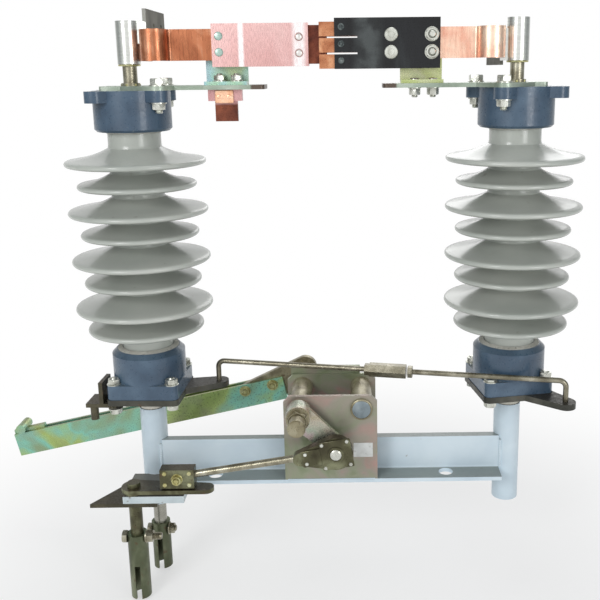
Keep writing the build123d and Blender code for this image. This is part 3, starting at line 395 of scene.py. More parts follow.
def strap_paint(name, dark, middle, light):
    """Braided leaf copper in three given tones, spread in upright streaks and patches."""
    paint = Paint(name, 0.75)
    streak = paint.noise(150.0, 2.0, (1.0, 1.0, 0.05))
    cloud = paint.noise(22.0, 5.0, None, 1.0)
    both = paint.math("ADD", paint.math("MULTIPLY", streak, 0.22), paint.math("MULTIPLY", cloud, 0.78))
    colour = paint.ramp(both, ((0.32, dark), (0.5, middle), (0.66, light)))
    return paint.surface(colour, (0.22, 0.42), 600.0, 0.2, 0.00008, (1.0, 1.0, 0.1))


def finger_paint(name, dark, middle, light):
    """Plain copper in three shades."""
    paint = Paint(name, 0.6)
    colour = paint.ramp(paint.noise(45.0, 5.0, None, 0.6), ((0.3, dark), (0.5, middle), (0.7, light)))
    return paint.surface(colour, (0.25, 0.48), 500.0, 0.15, 0.00008)


def earth_contact_paint():
    """Pinkish above, and dark red-brown below the foot."""
    paint = Paint("earth_contact_copper", 0.6)
    foot = edges("earth_contact")[0].z + 22
    upper_tone = paint.ramp(paint.noise(40.0, 4.0), ((0.3, shade(190, 140, 140)), (0.7, shade(220, 178, 176))))
    lower_tone = paint.ramp(paint.noise(55.0, 4.0, None, 0.8), ((0.3, shade(84, 42, 30)), (0.7, shade(136, 76, 54))))
    # dark red-brown below the foot, pinkish above it
    below = paint.fit(paint.along("Z"), foot / 1000, (foot + 5) / 1000, 1.0, 0.0)
    return paint.surface(paint.mix(below, upper_tone, lower_tone), (0.25, 0.45), 600.0, 0.12, 0.00008)


def leaf_paint():
    """Black semi-gloss spring plates with a faint painted highlight in an upright band along their height."""
    paint = Paint("leaf_black", 0.0, 0.1, 0.3)
    colour = paint.ramp(paint.noise(24.0, 5.0, (1.0, 1.0, 0.25), 0.5),
                        ((0.35, shade(16, 17, 19)), (0.55, shade(26, 28, 31)), (0.75, shade(56, 60, 62))))
    # the place and width of the painted highlight band, a lighter grey mixed in by patches
    middle, width = edges("leaf_springs")[0].x + 47, 0.034
    painted_highlight = paint.band("X", middle / 1000, width)
    patch = paint.fit(paint.noise(40.0, 4.0), 0.35, 0.65, 0.1, 0.5)
    colour = paint.mix(paint.math("MULTIPLY", painted_highlight, patch), colour, shade(104, 110, 110))
    return paint.surface(colour, (0.24, 0.44), 700.0, 0.25, 0.0001)


top_plate = top_plate_paint()
terminal_metal = head_paint()
blade_copper = blade_paint()
# One braided copper in two tones: the right strap is painted much paler than the left, a painted reflection.
left_strap = strap_paint("left_strap_copper", shade(140, 78, 50), shade(178, 112, 78), shade(222, 166, 134))
right_strap = strap_paint(
    "right_strap_copper_painted_light", shade(232, 168, 144), shade(246, 206, 182), shade(252, 234, 212))
finger_copper = finger_paint("finger_copper", shade(166, 100, 66), shade(196, 132, 94), shade(224, 168, 128))
# The tongue's copper is darkened as painted shade, for the shadow that the fingers cast on it.
shaded_tongue_copper = finger_paint("shaded_tongue_copper", shade(72, 34, 24), shade(104, 50, 34), shade(150, 84, 58))
spacer_copper = finger_paint("spacer_copper", shade(150, 86, 60), shade(176, 108, 78), shade(204, 140, 106))
earth_contact = earth_contact_paint()
leaf_black = leaf_paint()

# which CAD nodes take each finish
FINISHES = {
    beam_paint: ("channel_beam", "left_bearing_tube", "right_bearing_tube"),
    bearing_paint: ("drive_bearing_plate",),
    bronze: ("left_bushes", "right_bushes"),
    box_plate: ("box_front_plate", "box_rear_plate", "box_back_strip"),
    bearing_end: ("earth_shaft_tube", "box_spacer_tube", "earth_hub", "earth_shaft"),
    dark_steel: ("stop_plate", "interlock_bracket"),
    socket_olive: ("left_pipe_socket", "earth_pipe_socket"),
    shaft_steel: ("left_shaft", "right_shaft"),
    lever_steel: ("left_drive_lever", "right_drive_lever"),
    cap_paint: ("left_bottom_cap", "right_bottom_cap", "left_top_cap", "right_top_cap"),
    top_plate: ("left_top_plate", "right_top_plate"),
    terminal_metal: ("left_terminal_head", "right_terminal_head"),
    cross_rod: ("link_rod_left", "link_rod_right"),
    rod_zinc: ("earth_link_rod", "left_terminal_stud", "right_terminal_stud"),
    blade_copper: ("blade_plates",),
    left_strap: ("left_strap",),
    right_strap: ("right_strap",),
    shaded_tongue_copper: ("contact_tongue",),
    finger_copper: ("contact_fingers",),
    spacer_copper: ("blade_spacer", "finger_spacer"),
    leaf_black: ("leaf_springs",),
    left_bracket_zinc: ("left_bracket",),
    right_bracket_zinc: ("right_bracket",),
    earth_contact: ("earth_contact",),
    arm_zinc: ("earth_bars", "earth_tip"),
    crank_zinc: ("earth_crank",),
    drive_olive: ("earth_lever", "earth_link_left_end", "earth_link_right_end"),
}


def apply_finishes():
    """Give every CAD node its finish."""
    for material, names in FINISHES.items():
        for name in names:
            ob = NODES[name]
            if not ob.material_slots:
                ob.data.materials.append(material)
            for place in ob.material_slots:
                place.material = material


apply_finishes()


# ---------------------------------------------------------------- fasteners and turned details
HEX_CORNER = 0.577    # a hexagon's middle to its corner, as a share of its width across flats
SMOOTH_UNDER = 32    # edges that turn by fewer degrees are shaded smooth


def hexed(across, limit, angle):
    """Radius of a hexagon at an angle from one corner, cut back to a limit at the corners."""
    return min(limit, across / 2 / cos(angle % (pi / 3) - pi / 6))


class Piece:
    """Turned, hexagonal and flat solids of one finish on one body, in millimetres, gathered in one mesh."""

    def __init__(self, name, body, slot, material):
        self.name, self.body, self.slot, self.material = name, body, slot, material
        self.mesh = bmesh.new()

    def rings(self, base, axis, profile, sides=24, spin=0.0):
        """A solid round an axis; each radius is a number, or the width and limit of a hexagon."""
        axis = Vector(axis).normalized()
        flat = Vector((0, 0, 1)) if abs(axis.z) < 0.9 else Vector((1, 0, 0))
        side = (flat - axis * flat.dot(axis)).normalized()
        other = axis.cross(side)
        before = None
        for radius, height in profile:
            centre = Vector(base) + axis * height
            loop = []
            for i in range(sides if radius != 0 else 1):
                angle = 2 * pi * i / sides
                size = hexed(*radius, angle) if isinstance(radius, tuple) else radius
                angle += radians(spin)
                place = centre + (side * cos(angle) + other * sin(angle)) * size
                loop.append(self.mesh.verts.new(place / 1000))
            if before:
                self.join(before, loop)
            before = loop

    def join(self, first, second):
        """Faces between two loops of corners, either of which may be a single point."""
        count = max(len(first), len(second))
        for i in range(count if count > 1 else 0):
            j = (i + 1) % count
            corners = [first[i % len(first)], first[j % len(first)], second[j % len(second)],
                       second[i % len(second)]]
            self.mesh.faces.new(list(dict.fromkeys(corners)))

    def washer(self, base, axis, radius, thickness):
        self.rings(base, axis, ((0, 0), (radius, 0), (radius, thickness - 0.4), (radius - 0.5, thickness),
                                (0, thickness)), 32)

    def nut(self, base, axis, across, height, spin=0.0, thread=0.0, stud=0.0):
        """A chamfered nut or, with no thread, a bolt head with a dished top."""
        corner = across * HEX_CORNER
        profile = [(0, 0), ((across, corner * 0.93), 0), ((across, corner), height * 0.12),
                   ((across, corner), height * 0.84), ((across, corner * 0.9), height)]
        if not thread:
            profile += [(corner * 0.62, height), (corner * 0.58, height - 0.5), (0, height - 0.5)]
        else:
            profile += [(thread + 1.0, height), (thread, height - 1.0), (0, height - 1.0)]
        self.rings(base, axis, profile, 24, spin)
        if stud:
            self.thread(base, axis, thread, height - 1.0, height + stud)

    def thread(self, base, axis, radius, start, end, pitch=1.75):
        """The grooved end of a bolt, between two heights over the base."""
        profile = [(0, start)]
        height = start
        while height < end - pitch:
            profile += [(radius - 0.9, height), (radius, height + pitch * 0.5)]
            height += pitch
        profile += [(radius - 1.2, end), (0, end)]
        self.rings(base, axis, profile, 20)

    def rivet(self, base, axis, radius, height):
        """A domed head."""
        dome = [(0, 0), (radius, 0), (radius * 0.98, height * 0.3), (radius * 0.8, height * 0.75),
                (radius * 0.45, height * 0.95), (0, height)]
        self.rings(base, axis, dome)

    def bead(self, points, size, ripple=3.0):
        """A weld bead along a line: overlapping ripples of molten metal."""
        for first, last in zip(points, points[1:]):
            first, last = Vector(first), Vector(last)
            span = (last - first).length
            count = max(2, int(span / ripple))
            profile = [(0, 0)]
            for i in range(count):
                low = span * i / count
                profile += [(size * 0.82, low + 0.1), (size, low + span / count * 0.6)]
            profile += [(size * 0.6, span), (0, span + size * 0.3)]
            self.rings(first, last - first, profile, 12)

    def block(self, low, high, chamfer=1.0, place=None):
        """A plate that faces front and back, with cut corners and chamfered rims."""
        low, high = Vector(low), Vector(high)
        place = place or Matrix.Identity(4)
        loops = []
        for inset, y in ((chamfer, low.y), (0.0, low.y + chamfer),
                         (0.0, high.y - chamfer), (chamfer, high.y)):
            x0, x1, z0, z1 = low.x + inset, high.x - inset, low.z + inset, high.z - inset
            cut = chamfer * 1.5
            corners = ((x0 + cut, z0), (x1 - cut, z0), (x1, z0 + cut), (x1, z1 - cut), (x1 - cut, z1),
                       (x0 + cut, z1), (x0, z1 - cut), (x0, z0 + cut))
            loops.append([self.mesh.verts.new(place @ Vector((x, y, z)) / 1000) for x, z in corners])
        self.mesh.faces.new(loops[0])
        self.mesh.faces.new(loops[-1])
        for first, second in zip(loops, loops[1:]):
            self.join(first, second)

    def done(self):
        """Turn what was gathered into an object that rides on its body."""
        bmesh.ops.recalc_face_normals(self.mesh, faces=self.mesh.faces)
        data = bpy.data.meshes.new(self.name)
        self.mesh.to_mesh(data)
        self.mesh.free()
        data.polygons.foreach_set("use_smooth", [True] * len(data.polygons))
        data.set_sharp_from_angle(angle=radians(SMOOTH_UNDER))
        data.materials.append(self.material)
        ob = bpy.data.objects.new(self.name, data)
        bpy.context.scene.collection.objects.link(ob)
        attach(ob, self.body)
        return ob


UP, DOWN = Vector((0, 0, 1)), Vector((0, 0, -1))
FRONT, BACK = Vector((0, -1, 0)), Vector((0, 1, 0))
LEFT, RIGHT = Vector((-1, 0, 0)), Vector((1, 0, 0))
COLUMNS = {"left": AXLES["left_column_turn"], "right": AXLES["right_column_turn"]}
BOLT_RADIUS = 61.0    # of the cap bolts, round their column
# degrees by which each cap is turned, and its bolts with it
BASE_TURN = {"left": -2.5, "right": 10.0}
TOP_TURN = {"left": 5.0, "right": 18.0}
# ears of the top caps that the top plates are bolted to
COVERED_EARS = {"left": (45.0, 315.0), "right": (135.0, 225.0)}
CAP_FLANGE, CAP_EAR = 22, 16    # thickness of a bottom cap's flange and a top cap's ears
BRACKET_FOOT = 6    # thickness of the interlock bracket under the left lever

SHED_PAIRS = 4
NECK, LARGE_SHED, SMALL_SHED = 37.5, 100.0, 85.0    # radii of the porcelain
FIRST_SHED = 102.0    # from the top cap's top down to the first large shed
SHED_PITCH, SHED_STEP = 71.2, 33.5    # from one large shed to the next, and to the small one between
RIM, RIM_LIFT = 3.9, 0.4    # radius of a rim, and its middle's height over the shed's
RIM_STEPS, CROWN_STEPS = 8, 10
CROWN_RISE = 21.0    # from the middle of a large rim up to where the shed meets the neck
# a shed's underside: out from the neck, then in from the rim, each with its height
SHED_ROOT = ((0.0, -7.0), (0.8, -4.6), (2.6, -2.4), (6.0, -1.0), (14.0, -0.4))
SHED_LIP = ((16.0, -1.2), (9.0, -2.4))
CEMENT = ((38.4, -3.0), (46.0, -3.0), (45.2, 0.2), (43.0, 1.2), (40.0, 1.7), (38.4, 2.6))


def on_axis(side, height):
    """A point on a column's axis."""
    return Vector((COLUMNS[side].x, COLUMNS[side].y, height))


def round_column(side, angle, height):
    """The place of a cap bolt, at an angle in degrees round its column."""
    turn = radians(angle)
    return on_axis(side, height) + Vector((BOLT_RADIUS * cos(turn), BOLT_RADIUS * sin(turn), 0))


def column_fasteners(side):
    """Bolts through the bottom cap and its lever, and through the top cap's ears and the top plate."""
    piece = Piece(side + "_column_bolts", side + "_column", "chromate", bright_zinc)
    lever = edges(side + "_drive_lever")
    flange = lever[1].z + CAP_FLANGE
    for i in range(4):
        angle = BASE_TURN[side] + 45 + 90 * i
        top = round_column(side, angle, flange)
        piece.washer(top, UP, 10.5, 1.4)
        if side == "right" and i == 2:
            # a thin head, because the cross link passes over it
            piece.nut(top + UP * 1.2, UP, 16, 3.4, angle)
        else:
            piece.nut(top + UP * 1.2, UP, 16, 7.5, angle, 5.0, 2.0)
        under_bracket = side == "left" and i == 2
        bottom = round_column(side, angle, lever[0].z - BRACKET_FOOT if under_bracket else lever[0].z)
        piece.washer(bottom, DOWN, 10.5, 1.6)
        piece.nut(bottom + DOWN * 1.6, DOWN, 16, 6.5, angle + 12)
    plate = edges(side + "_top_plate")[1].z
    under_ear = edges(side + "_top_cap")[1].z - CAP_EAR
    for ear in COVERED_EARS[side]:
        angle = TOP_TURN[side] + ear
        top = round_column(side, angle, plate)
        piece.washer(top, UP, 11.5, 2.0)
        piece.nut(top + UP * 2.0, UP, 18, 8.5, angle + 9)
        bottom = round_column(side, angle, under_ear)
        piece.washer(bottom, DOWN, 11.0, 2.0)
        piece.nut(bottom + DOWN * 2.0, DOWN, 17, 8.0, angle, 5.5, 5.0)
    return piece.done()


def cement_rings(side):
    """The cement that shows between the porcelain necks and the rims of the caps."""
    piece = Piece(side + "_cement", side + "_column", "porcelain", cement)
    rim = edges(side + "_bottom_cap")[1].z
    skirt = edges(side + "_top_cap")[0].z
    for height, way in ((rim, UP), (skirt, DOWN)):
        piece.rings(on_axis(side, height), way, CEMENT, 64)
    return piece.done()


def porcelain_profile(side):
    """Radius and height of the glazed porcelain from its foot up, with flared roots and full round rims."""
    low, high = edges(side + "_insulator")
    top = edges(side + "_top_cap")[1].z
    rims = []
    for pair in range(SHED_PAIRS):
        large = top - FIRST_SHED - pair * SHED_PITCH
        rims += [(LARGE_SHED, large), (SMALL_SHED, large - SHED_STEP)]
    profile = [(0, low.z), (NECK, low.z)]
    for radius, height in reversed(rims):
        reach = radius - NECK
        profile += [(NECK + out, height + rise) for out, rise in SHED_ROOT]
        profile += [(radius - back, height + rise) for back, rise in SHED_LIP]
        middle = height + RIM_LIFT
        for step in range(RIM_STEPS + 1):
            angle = radians(-105 + 180 * step / RIM_STEPS)
            profile.append((radius - RIM + RIM * cos(angle), middle + RIM * sin(angle)))
        for step in range(1, CROWN_STEPS + 1):
            u = step / CROWN_STEPS
            lift = RIM + (CROWN_RISE * radius / LARGE_SHED - RIM) * (0.5 * u + 0.5 * u ** 2.8)
            profile.append((radius - RIM - (reach - RIM - 1.0) * u, middle + lift))
        profile += [(NECK + 0.3, profile[-1][1] + 2.0), (NECK, profile[-1][1] + 5.0)]
    return profile + [(NECK, high.z), (0, high.z)]


def porcelain_post(side):
    """The turned post that stands for the plainer one of the CAD."""
    piece = Piece(side + "_porcelain", side + "_column", "porcelain", porcelain)
    piece.rings(on_axis(side, 0), UP, porcelain_profile(side), 96)
    ob = piece.done()
    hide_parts(side + "_insulator")
    return ob


def shaft_weld(side):
    """The weld round a column's shaft, under its drive lever."""
    piece = Piece(side + "_shaft_seal", side + "_column", "shaft_steel", shaft_steel)
    base = on_axis(side, edges(side + "_drive_lever")[0].z)
    radius, drop, steps = 19.5, -1.4, 24
    turns = [2 * pi * i / steps for i in range(steps + 1)]
    piece.bead([base + Vector((radius * cos(turn), radius * sin(turn), drop)) for turn in turns], 1.9)
    return piece.done()


def stud_nuts(side):
    """The ring under the terminal head, and the thin nut where its stud leaves the top plate."""
    piece = Piece(side + "_stud_nut", side + "_column", "chromate", yellow_zinc)
    head = on_axis(side, edges(side + "_terminal_stud")[1].z)
    piece.rings(head, DOWN, ((10.2, 0.2), (15.2, 0.2), (15.6, 1.2), (15.2, 2.6), (10.2, 3.0)), 48)
    piece.nut(on_axis(side, edges(side + "_top_plate")[1].z), UP, 24, 3.2, 17)
    return piece.done()


def rivet_paint(name, shades, rough):
    return mottled(name, *shades, rough, metal=0.5, scale=120.0, grain=800.0)


def blade_fasteners():
    """Rivets through the blade plates, on both faces."""
    low, high = edges("blade_plates")
    pale = rivet_paint(
        "rivet_grey", (shade(150, 176, 168), shade(172, 198, 188), shade(196, 214, 206)), (0.25, 0.45))
    white = rivet_paint(
        "rivet_bright", (shade(214, 212, 206), shade(234, 232, 228), shade(246, 244, 240)), (0.2, 0.4))
    ring = rivet_paint(
        "rivet_ring", (shade(150, 120, 116), shade(170, 140, 134), shade(190, 160, 152)), (0.35, 0.5))
    outer = Piece("blade_root_rivets", "left_column", "copper", pale)
    inner = Piece("blade_tip_rivets", "left_column", "copper", white)
    rims = Piece("blade_tip_rims", "left_column", "copper", ring)
    for face, way in ((low.y, FRONT), (high.y, BACK)):
        for rise in (20.0, 42.0):
            outer.rivet(Vector((low.x + 10, face, low.z + rise)), way, 6.0, 2.4)
            tip = Vector((high.x - 13, face, low.z + rise - 2))
            rims.rings(tip, way, ((0, 0), (5.8, 0), (5.8, 0.7), (5.0, 0.9), (0, 0.9)), 32)
            inner.rivet(tip + way * 0.7, way, 4.4, 1.6)
    return outer.done(), inner.done(), rims.done()


def leaf_fasteners():
    """Spring bolts at the finger tips and the clamp bolts of the contact arm."""
    low, high = edges("leaf_springs")
    dished = ((0, 0), (9.4, 0), (9.4, 1.2), (8.6, 1.9), (4.6, 2.2), (4.2, 1.7), (0, 1.7))
    tips = Piece("finger_bolts", "right_column", "chromate", mottled(
        "bolt_black", shade(60, 66, 68), shade(96, 104, 104), shade(140, 148, 146), (0.25, 0.45), metal=0.6,
        scale=160.0, grain=900.0))
    clamps = Piece("arm_bolts", "right_column", "chromate", bright_zinc)
    for face, way in ((low.y, FRONT), (high.y, BACK)):
        for rise in (11.5, 34.5, 57.5):
            place = Vector((low.x + 9.5, face, low.z + rise))
            tips.washer(place, way, 4.6, 0.8)
            tips.nut(place + way * 0.8, way, 6.6, 2.4, 10 * rise, 1.8)
        for rise in (22.5, 46.5):
            place = Vector((low.x + 79.5, face, low.z + rise))
            clamps.rings(place, way, dished, 36)
        for rise, spin in ((22.5, 12), (46.5, 3)):
            place = Vector((high.x - 12, face, low.z + rise))
            if way == BACK:
                place.y = edges("right_bracket")[1].y
            clamps.washer(place, way, 10.2, 1.6)
            clamps.nut(place + way * 1.6, way, 16, 6.0, spin, 5.0, 3.0 if way == FRONT else 0.0)
    return tips.done(), clamps.done()


def bracket_fasteners():
    """Bolts that hold the contact arms' brackets to the top plates, and the left arm to its bracket."""
    from_front, leaf = 11, 5
    left = Piece("left_bracket_nuts", "left_column", "chromate", bright_zinc)
    low, high = edges("left_bracket")
    inner, outer = 20.5, 44.5
    for along in (inner, outer):
        place = Vector((low.x + along, low.y + from_front, low.z + leaf))
        left.washer(place, UP, 9.5, 1.5)
        left.nut(place + UP * 1.5, UP, 14, 7.0, 20, 4.5, 2.5)
    under = Vector((low.x + outer, low.y + from_front, edges("left_top_plate")[0].z))
    left.washer(under, DOWN, 9.0, 1.5)
    left.nut(under + DOWN * 1.5, DOWN, 14, 5.0, 4)
    for rise in (30.0, 50.0):
        place = Vector((low.x + 16, high.y, low.z + rise))
        left.washer(place, BACK, 9.0, 1.5)
        left.nut(place + BACK * 1.5, BACK, 14, 6.0, 25, 4.5, 2.5)
    right = Piece("right_bracket_nuts", "right_column", "chromate", bright_zinc)
    low, high = edges("right_bracket")
    for along, spin in ((20.0, 25), (46.0, 2)):
        place = Vector((low.x + along, low.y + from_front, low.z + leaf))
        right.rivet(place, UP, 7.0, 2.4)
        under = Vector((low.x + along, low.y + from_front, edges("right_top_plate")[0].z))
        right.washer(under, DOWN, 9.5, 1.6)
        right.nut(under + DOWN * 1.6, DOWN, 15, 9.0, spin, 4.8, 3.5)
    return left.done(), right.done()


def earth_contact_front():
    """The bright clamp leaf on the earthing contact's foot, with its two flat screws."""
    low, high = edges("earth_contact")
    middle = (low.x + high.x) / 2
    piece = Piece("earth_contact_clamp", "left_column", "copper", finger_paint(
        "clamp_copper", shade(226, 160, 124), shade(240, 186, 150), shade(250, 212, 184)))
    front = low.y - 3
    piece.block((middle - 14, front, high.z - 19), (middle + 12, low.y, high.z - 1), 0.8)
    for offset in (-8.0, 6.0):
        piece.rivet(Vector((middle + offset, front, high.z - 10)), FRONT, 3.2, 0.8)
    return piece.done()


def along_rod(ball, along, distance):
    """A point on the middle line of the earthing link's rod, this far from its right ball."""
    rod_radius = 5.5
    return Vector((ball.x, edges("earth_link_rod")[0].y + rod_radius, ball.z)) + along * distance


def housing_details():
    """On the ball housings of the earthing link: rivets, clamp screw, cover plates and the rod's lock nut."""
    rivets = Piece("housing_rivets", "earth_link", "chromate", yellow_zinc)
    low, high = edges("earth_link_left_end")
    middle = (low + high) / 2
    for across in (-18.0, 18.0):
        for rise in (-9.0, 9.0):
            rivets.rivet(Vector((middle.x + across, low.y, middle.z + rise)), FRONT, 3.4, 1.6)
    face = Vector((middle.x, low.y, middle.z))
    rivets.washer(face, FRONT, 8.6, 1.2)
    rivets.nut(face + FRONT * 1.2, FRONT, 13, 5.0, 12, 4.0, 1.5)
    plate = Piece("housing_plate", "earth_link", "chromate", drive_olive)
    shine = Piece("housing_ball_end", "earth_link", "chromate", bright_zinc)
    low, high = edges("earth_link_right_end")
    inset, cover = 25.0, 3
    ball = Vector((high.x - inset, low.y, high.z - inset))
    start = AXLES["earth_link_ball"]
    tilt = atan2(ball.z - start.z, ball.x - start.x)
    turn = Matrix.Translation(ball) @ Matrix.Rotation(-tilt, 4, "Y")
    plate.block((-22, -cover, -22), (24, 0, 22), 0.8, turn)
    plate.block((-50, -cover, -12), (-21.5, 0, 13), 0.8, turn)
    dished = ((0, 0), (12.5, 0), (12.5, 1.4), (11.6, 2.2), (9.2, 2.2), (8.8, 1.0), (0, 1.0))
    plate.rings(ball + FRONT * 2.8, FRONT, dished, 40)
    shine.rivet(ball + FRONT * 3.8, FRONT, 8.4, 2.2)
    for across, rise in ((-18, 18), (19, 18), (-18, -18), (19, -18), (-44, 8), (-44, -7)):
        shine.rivet(turn @ Vector((across, -cover, rise)), FRONT, 2.9, 1.4)
    along = (start - ball).normalized()
    along.y = 0
    shine.nut(along_rod(ball, along, 51.0), along, 15, 8.0, 10, 5.0)
    return rivets.done(), plate.done(), shine.done()


def arm_bolts():
    """Bolts through the two bars of the earthing arm near its hub."""
    piece = Piece("earth_arm_bolts", "earth_blade", "chromate", yellow_zinc)
    low, high = edges("earth_bars")
    shaft = AXLES["earth_blade_swing"]
    bolts = ((-103.6, -39.5), (-56.7, -29.1))    # across and up from the earthing shaft
    for across, rise in bolts:
        for face, way in ((low.y, FRONT), (high.y, BACK)):
            place = Vector((shaft.x + across, face, shaft.z + rise))
            piece.washer(place, way, 9.5, 1.5)
            piece.nut(place + way * 1.5, way, 14, 4.0, 12, 4.6, 0.4)
    return piece.done()


def box_details():
    """Rings and end discs of the box's spacer tube, a blank label, and the bolts behind the box."""
    piece = Piece("box_washers", "base", "box_plate", bearing_end)
    ends = Piece("box_tube_ends", "base", "shaft_steel", disc_grey)
    low, high = edges("box_spacer_tube")
    ring = ((0, -1), (16.2, -1), (16.2, 0.5), (15.4, 1.0), (14.2, 1.0), (13.8, 0.3), (0, 0.3))
    disc = ((0, 0), (13.6, 0), (13.6, 0.9), (12.9, 1.3), (2.6, 1.4), (2.0, 0.9), (0, 0.9))
    for side, way in ((low.y, FRONT), (high.y, BACK)):
        face = Vector(((low.x + high.x) / 2, side, (low.z + high.z) / 2))
        piece.rings(face, way, ring, 48)
        ends.rings(face, way, disc, 48)
    near, far = edges("box_front_plate")
    blank = Piece("blank_label", "base", "box_plate", mottled(
        "blank_label", shade(206, 208, 204), shade(220, 222, 220), shade(230, 232, 230), (0.4, 0.6),
        scale=60.0, specks=(shade(150, 146, 136), 110.0, 0.6, 0.5), grain=400.0))
    blank.block((far.x - 36, near.y - 0.5, near.z + 36), (far.x - 7, near.y, near.z + 59), 0.25)
    blank.done()
    near, far = edges("box_rear_plate")
    for offset in (30.0, 112.0):
        place = Vector((near.x + offset, far.y, near.z + 22))
        ends.washer(place, BACK, 10.5, 1.6)
        ends.nut(place + BACK * 1.6, BACK, 15, 6.0, 14, 4.8, 2.0)
    return piece.done(), ends.done()


def earth_shaft_end():
    """The turned end, washer and lock nut on the earthing shaft in front of its crank."""
    piece = Piece("earth_shaft_end", "earth_blade", "shaft_steel", bearing_end)
    low, high = edges("earth_shaft")
    middle = Vector(((low.x + high.x) / 2, low.y, (low.z + high.z) / 2))
    face = Vector((middle.x, edges("earth_crank")[0].y, middle.z))
    piece.rings(face, FRONT, ((12.1, 0), (17.5, 0), (17.5, 2.2), (16.6, 3.0), (12.1, 3.0)), 48)
    piece.nut(face + FRONT * 3.0, FRONT, 27, 8.0, 10, 12.1)
    collar = ((13.2, -1.6), (13.2, -5.0), (12.0, -6.0), (11.0, -5.0), (11.0, -1.6), (13.2, -1.6))
    piece.rings(middle, FRONT, collar, 48)
    far = Vector((middle.x, high.y, middle.z))
    piece.rings(far, BACK, ((0, -0.4), (9.0, -0.4), (8.4, 0.4), (0, 0.5)), 36)
    return piece.done()


def socket_bolts():
    """Clamp bolts across the split sockets of the two operating pipes."""
    inset, forward = 1.2, 4
    front = Piece("earth_socket_bolt", "earth_drive", "chromate", rod_zinc)
    low, high = edges("earth_pipe_socket")
    middle = (low + high) / 2
    place = Vector((low.x + inset, middle.y - forward, high.z - 4))
    front.nut(place, LEFT, 17, 7.0, 8)
    place = Vector((high.x - inset, middle.y - forward, high.z - 4))
    front.washer(place, RIGHT, 10.0, 2.0)
    front.nut(place + RIGHT * 2.0, RIGHT, 17, 9.0, 0, 5.6, 13.0)
    rear = Piece("left_socket_bolt", "left_column", "chromate", rod_zinc)
    low, high = edges("left_pipe_socket")
    middle = (low + high) / 2
    place = Vector((high.x - inset, middle.y - forward, high.z - 12))
    rear.washer(place, RIGHT, 10.0, 2.0)
    rear.nut(place + RIGHT * 2.0, RIGHT, 16, 7.0, 0, 5.0, 3.0)
    place = Vector((low.x + inset, middle.y - forward, high.z - 12))
    rear.nut(place, LEFT, 16, 6.5, 8)
    return front.done(), rear.done()


def weld_beads():
    """Weld beads where the bearing tubes meet the beam and where the box stands on it."""
    piece = Piece("beam_welds", "base", "beam_paint", beam_paint)
    low, high = edges("channel_beam")
    web, from_axis, from_end = low.y + 34.3, 12.0, 6
    for side, way in (("left", 1), ("right", -1)):
        x = COLUMNS[side].x + way * from_axis
        piece.bead([(x, web, low.z + from_end), (x, web, high.z - from_end)], 2.6)
    low, high = edges("box_front_plate")
    front, from_end = low.y + 0.4, 4
    piece.bead([(low.x + from_end, front, low.z), (high.x - from_end, front, low.z)], 1.8)
    return piece.done()


def make_pieces():
    """Everything that is added to the CAD solids."""
    for side in ("left", "right"):
        column_fasteners(side)
        cement_rings(side)
        porcelain_post(side)
        shaft_weld(side)
        stud_nuts(side)
    blade_fasteners()
    leaf_fasteners()
    bracket_fasteners()
    earth_contact_front()
    box_details()
    earth_shaft_end()
    housing_details()
    arm_bolts()
    socket_bolts()
    weld_beads()


make_pieces()


# ---------------------------------------------------------------- floor, light, background
WHITE = (1.0, 1.0, 1.0, 1.0)


def node_math(tree, operation, *sources):
    """The outcome of a Math node with these sources."""
    node = tree.nodes.new("ShaderNodeMath")
    node.operation = operation
    for source, socket in zip(sources, node.inputs):
        tree.links.new(source, socket)
    return node.outputs[0]


def shader_mix(tree, share, first, second, output):
    """Two shaders mixed by a share, and led to the output node."""
    mix = tree.nodes.new("ShaderNodeMixShader")
    for source, socket in zip((share, first.outputs[0], second.outputs[0]), mix.inputs):
        tree.links.new(source, socket)
    tree.links.new(mix.outputs[0], tree.nodes[output].inputs["Surface"])


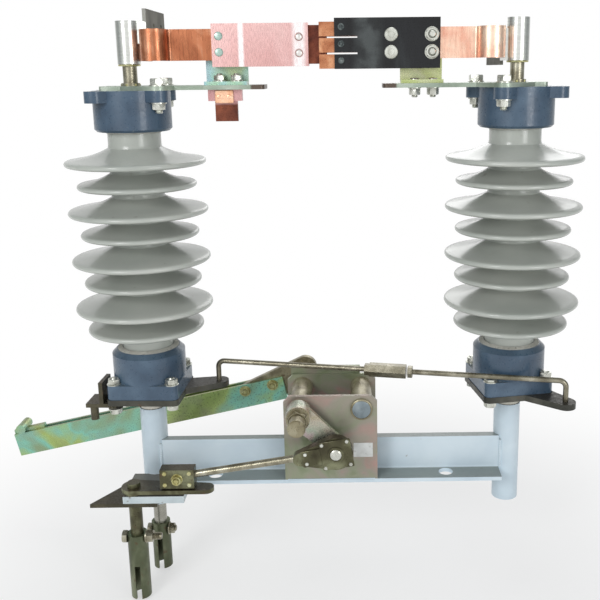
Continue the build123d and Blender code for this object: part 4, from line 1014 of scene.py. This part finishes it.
def make_floor():
    """A pale floor that keeps the shadow near the object and runs out to white."""
    low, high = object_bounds()
    data = bpy.data.meshes.new("floor")
    size, gap = 9.0, 0.004
    drop = low.z - gap
    data.from_pydata([(-size, -size, drop), (size, -size, drop), (size, size, drop), (-size, size, drop)], [],
                     [(0, 1, 2, 3)])
    floor = bpy.data.objects.new("floor", data)
    bpy.context.scene.collection.objects.link(floor)
    material = bpy.data.materials.new("floor")
    material.use_nodes = True
    tree = material.node_tree
    shader = tree.nodes["Principled BSDF"]
    shader.inputs["Base Color"].default_value = (0.93, 0.93, 0.93, 1.0)
    shader.inputs["Roughness"].default_value = 0.9
    shader.inputs["Specular IOR Level"].default_value = 0.0
    glow = tree.nodes.new("ShaderNodeEmission")
    glow.inputs["Color"].default_value = WHITE
    glow.inputs["Strength"].default_value = 1.0
    path = tree.nodes.new("ShaderNodeLightPath").outputs
    seen = node_math(tree, "MAXIMUM", path["Is Camera Ray"], path["Is Glossy Ray"])
    place = tree.nodes.new("ShaderNodeTexCoord")
    reach = tree.nodes.new("ShaderNodeVectorMath")
    reach.operation = "LENGTH"
    tree.links.new(place.outputs["Object"], reach.inputs[0])
    fade = tree.nodes.new("ShaderNodeMapRange")
    fade.interpolation_type = "SMOOTHSTEP"
    for socket, number in zip(("From Min", "From Max", "To Min", "To Max"), (0.35, 1.0, 0.55, 1.0)):
        fade.inputs[socket].default_value = number
    tree.links.new(reach.outputs["Value"], fade.inputs["Value"])
    share = node_math(tree, "MULTIPLY", seen, fade.outputs["Result"])
    shader_mix(tree, share, shader, glow, "Material Output")
    data.materials.append(material)
    floor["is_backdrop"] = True


def make_world():
    """White for what the camera and reflections see, with a dimmer room at both sides."""
    world = bpy.data.worlds.new("studio")
    world.use_nodes = True
    bpy.context.scene.world = world
    tree = world.node_tree
    fill = tree.nodes["Background"]
    fill.inputs["Color"].default_value = (0.95, 0.98, 1.0, 1.0)
    fill.inputs["Strength"].default_value = 0.4
    white = tree.nodes.new("ShaderNodeBackground")
    white.inputs["Strength"].default_value = 1.0
    path = tree.nodes.new("ShaderNodeLightPath").outputs
    place = tree.nodes.new("ShaderNodeTexCoord")
    parts = tree.nodes.new("ShaderNodeSeparateXYZ")
    tree.links.new(place.outputs["Generated"], parts.inputs["Vector"])
    room = tree.nodes.new("ShaderNodeValToRGB")
    stops = room.color_ramp.elements
    stops[0].position, stops[0].color = 0.1, (0.24, 0.26, 0.26, 1.0)
    stops[1].position, stops[1].color = 0.9, (0.95, 0.95, 0.95, 1.0)
    middle = stops.new(0.5)
    middle.color = (0.5, 0.52, 0.52, 1.0)
    tree.links.new(node_math(tree, "ABSOLUTE", parts.outputs["Y"]), room.inputs["Fac"])
    colour = tree.nodes.new("ShaderNodeMix")
    colour.data_type = "RGBA"
    tree.links.new(path["Is Glossy Ray"], colour.inputs[0])
    colour.inputs[6].default_value = WHITE
    tree.links.new(room.outputs["Color"], colour.inputs[7])
    tree.links.new(colour.outputs[2], white.inputs["Color"])
    seen = node_math(tree, "MAXIMUM", path["Is Camera Ray"], path["Is Glossy Ray"])
    seen = node_math(tree, "MAXIMUM", seen, path["Is Transmission Ray"])
    shader_mix(tree, seen, fill, white, "World Output")


def make_lamp(name, place, power, width, height):
    """A soft rectangular lamp, in metres and watts, aimed at the middle of the object."""
    low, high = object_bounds()
    target = (low + high) / 2
    data = bpy.data.lights.new(name, "AREA")
    data.shape = "RECTANGLE"
    data.size, data.size_y = width, height
    data.energy = power
    lamp = bpy.data.objects.new(name, data)
    lamp.location = place
    lamp.rotation_euler = (target - Vector(place)).to_track_quat("-Z", "Y").to_euler()
    bpy.context.scene.collection.objects.link(lamp)


make_floor()
make_world()
make_lamp("key", (-1.3, -2.0, 1.3), 23.0, 0.8, 1.0)
make_lamp("fill", (1.5, -1.9, 0.6), 12.0, 0.8, 1.0)
make_lamp("top", (0.1, 0.2, 2.3), 7.0, 1.6, 1.0)
make_lamp("back", (0.4, 2.2, 1.3), 8.0, 1.4, 1.2)
bpy.context.scene.view_settings.view_transform = "Standard"
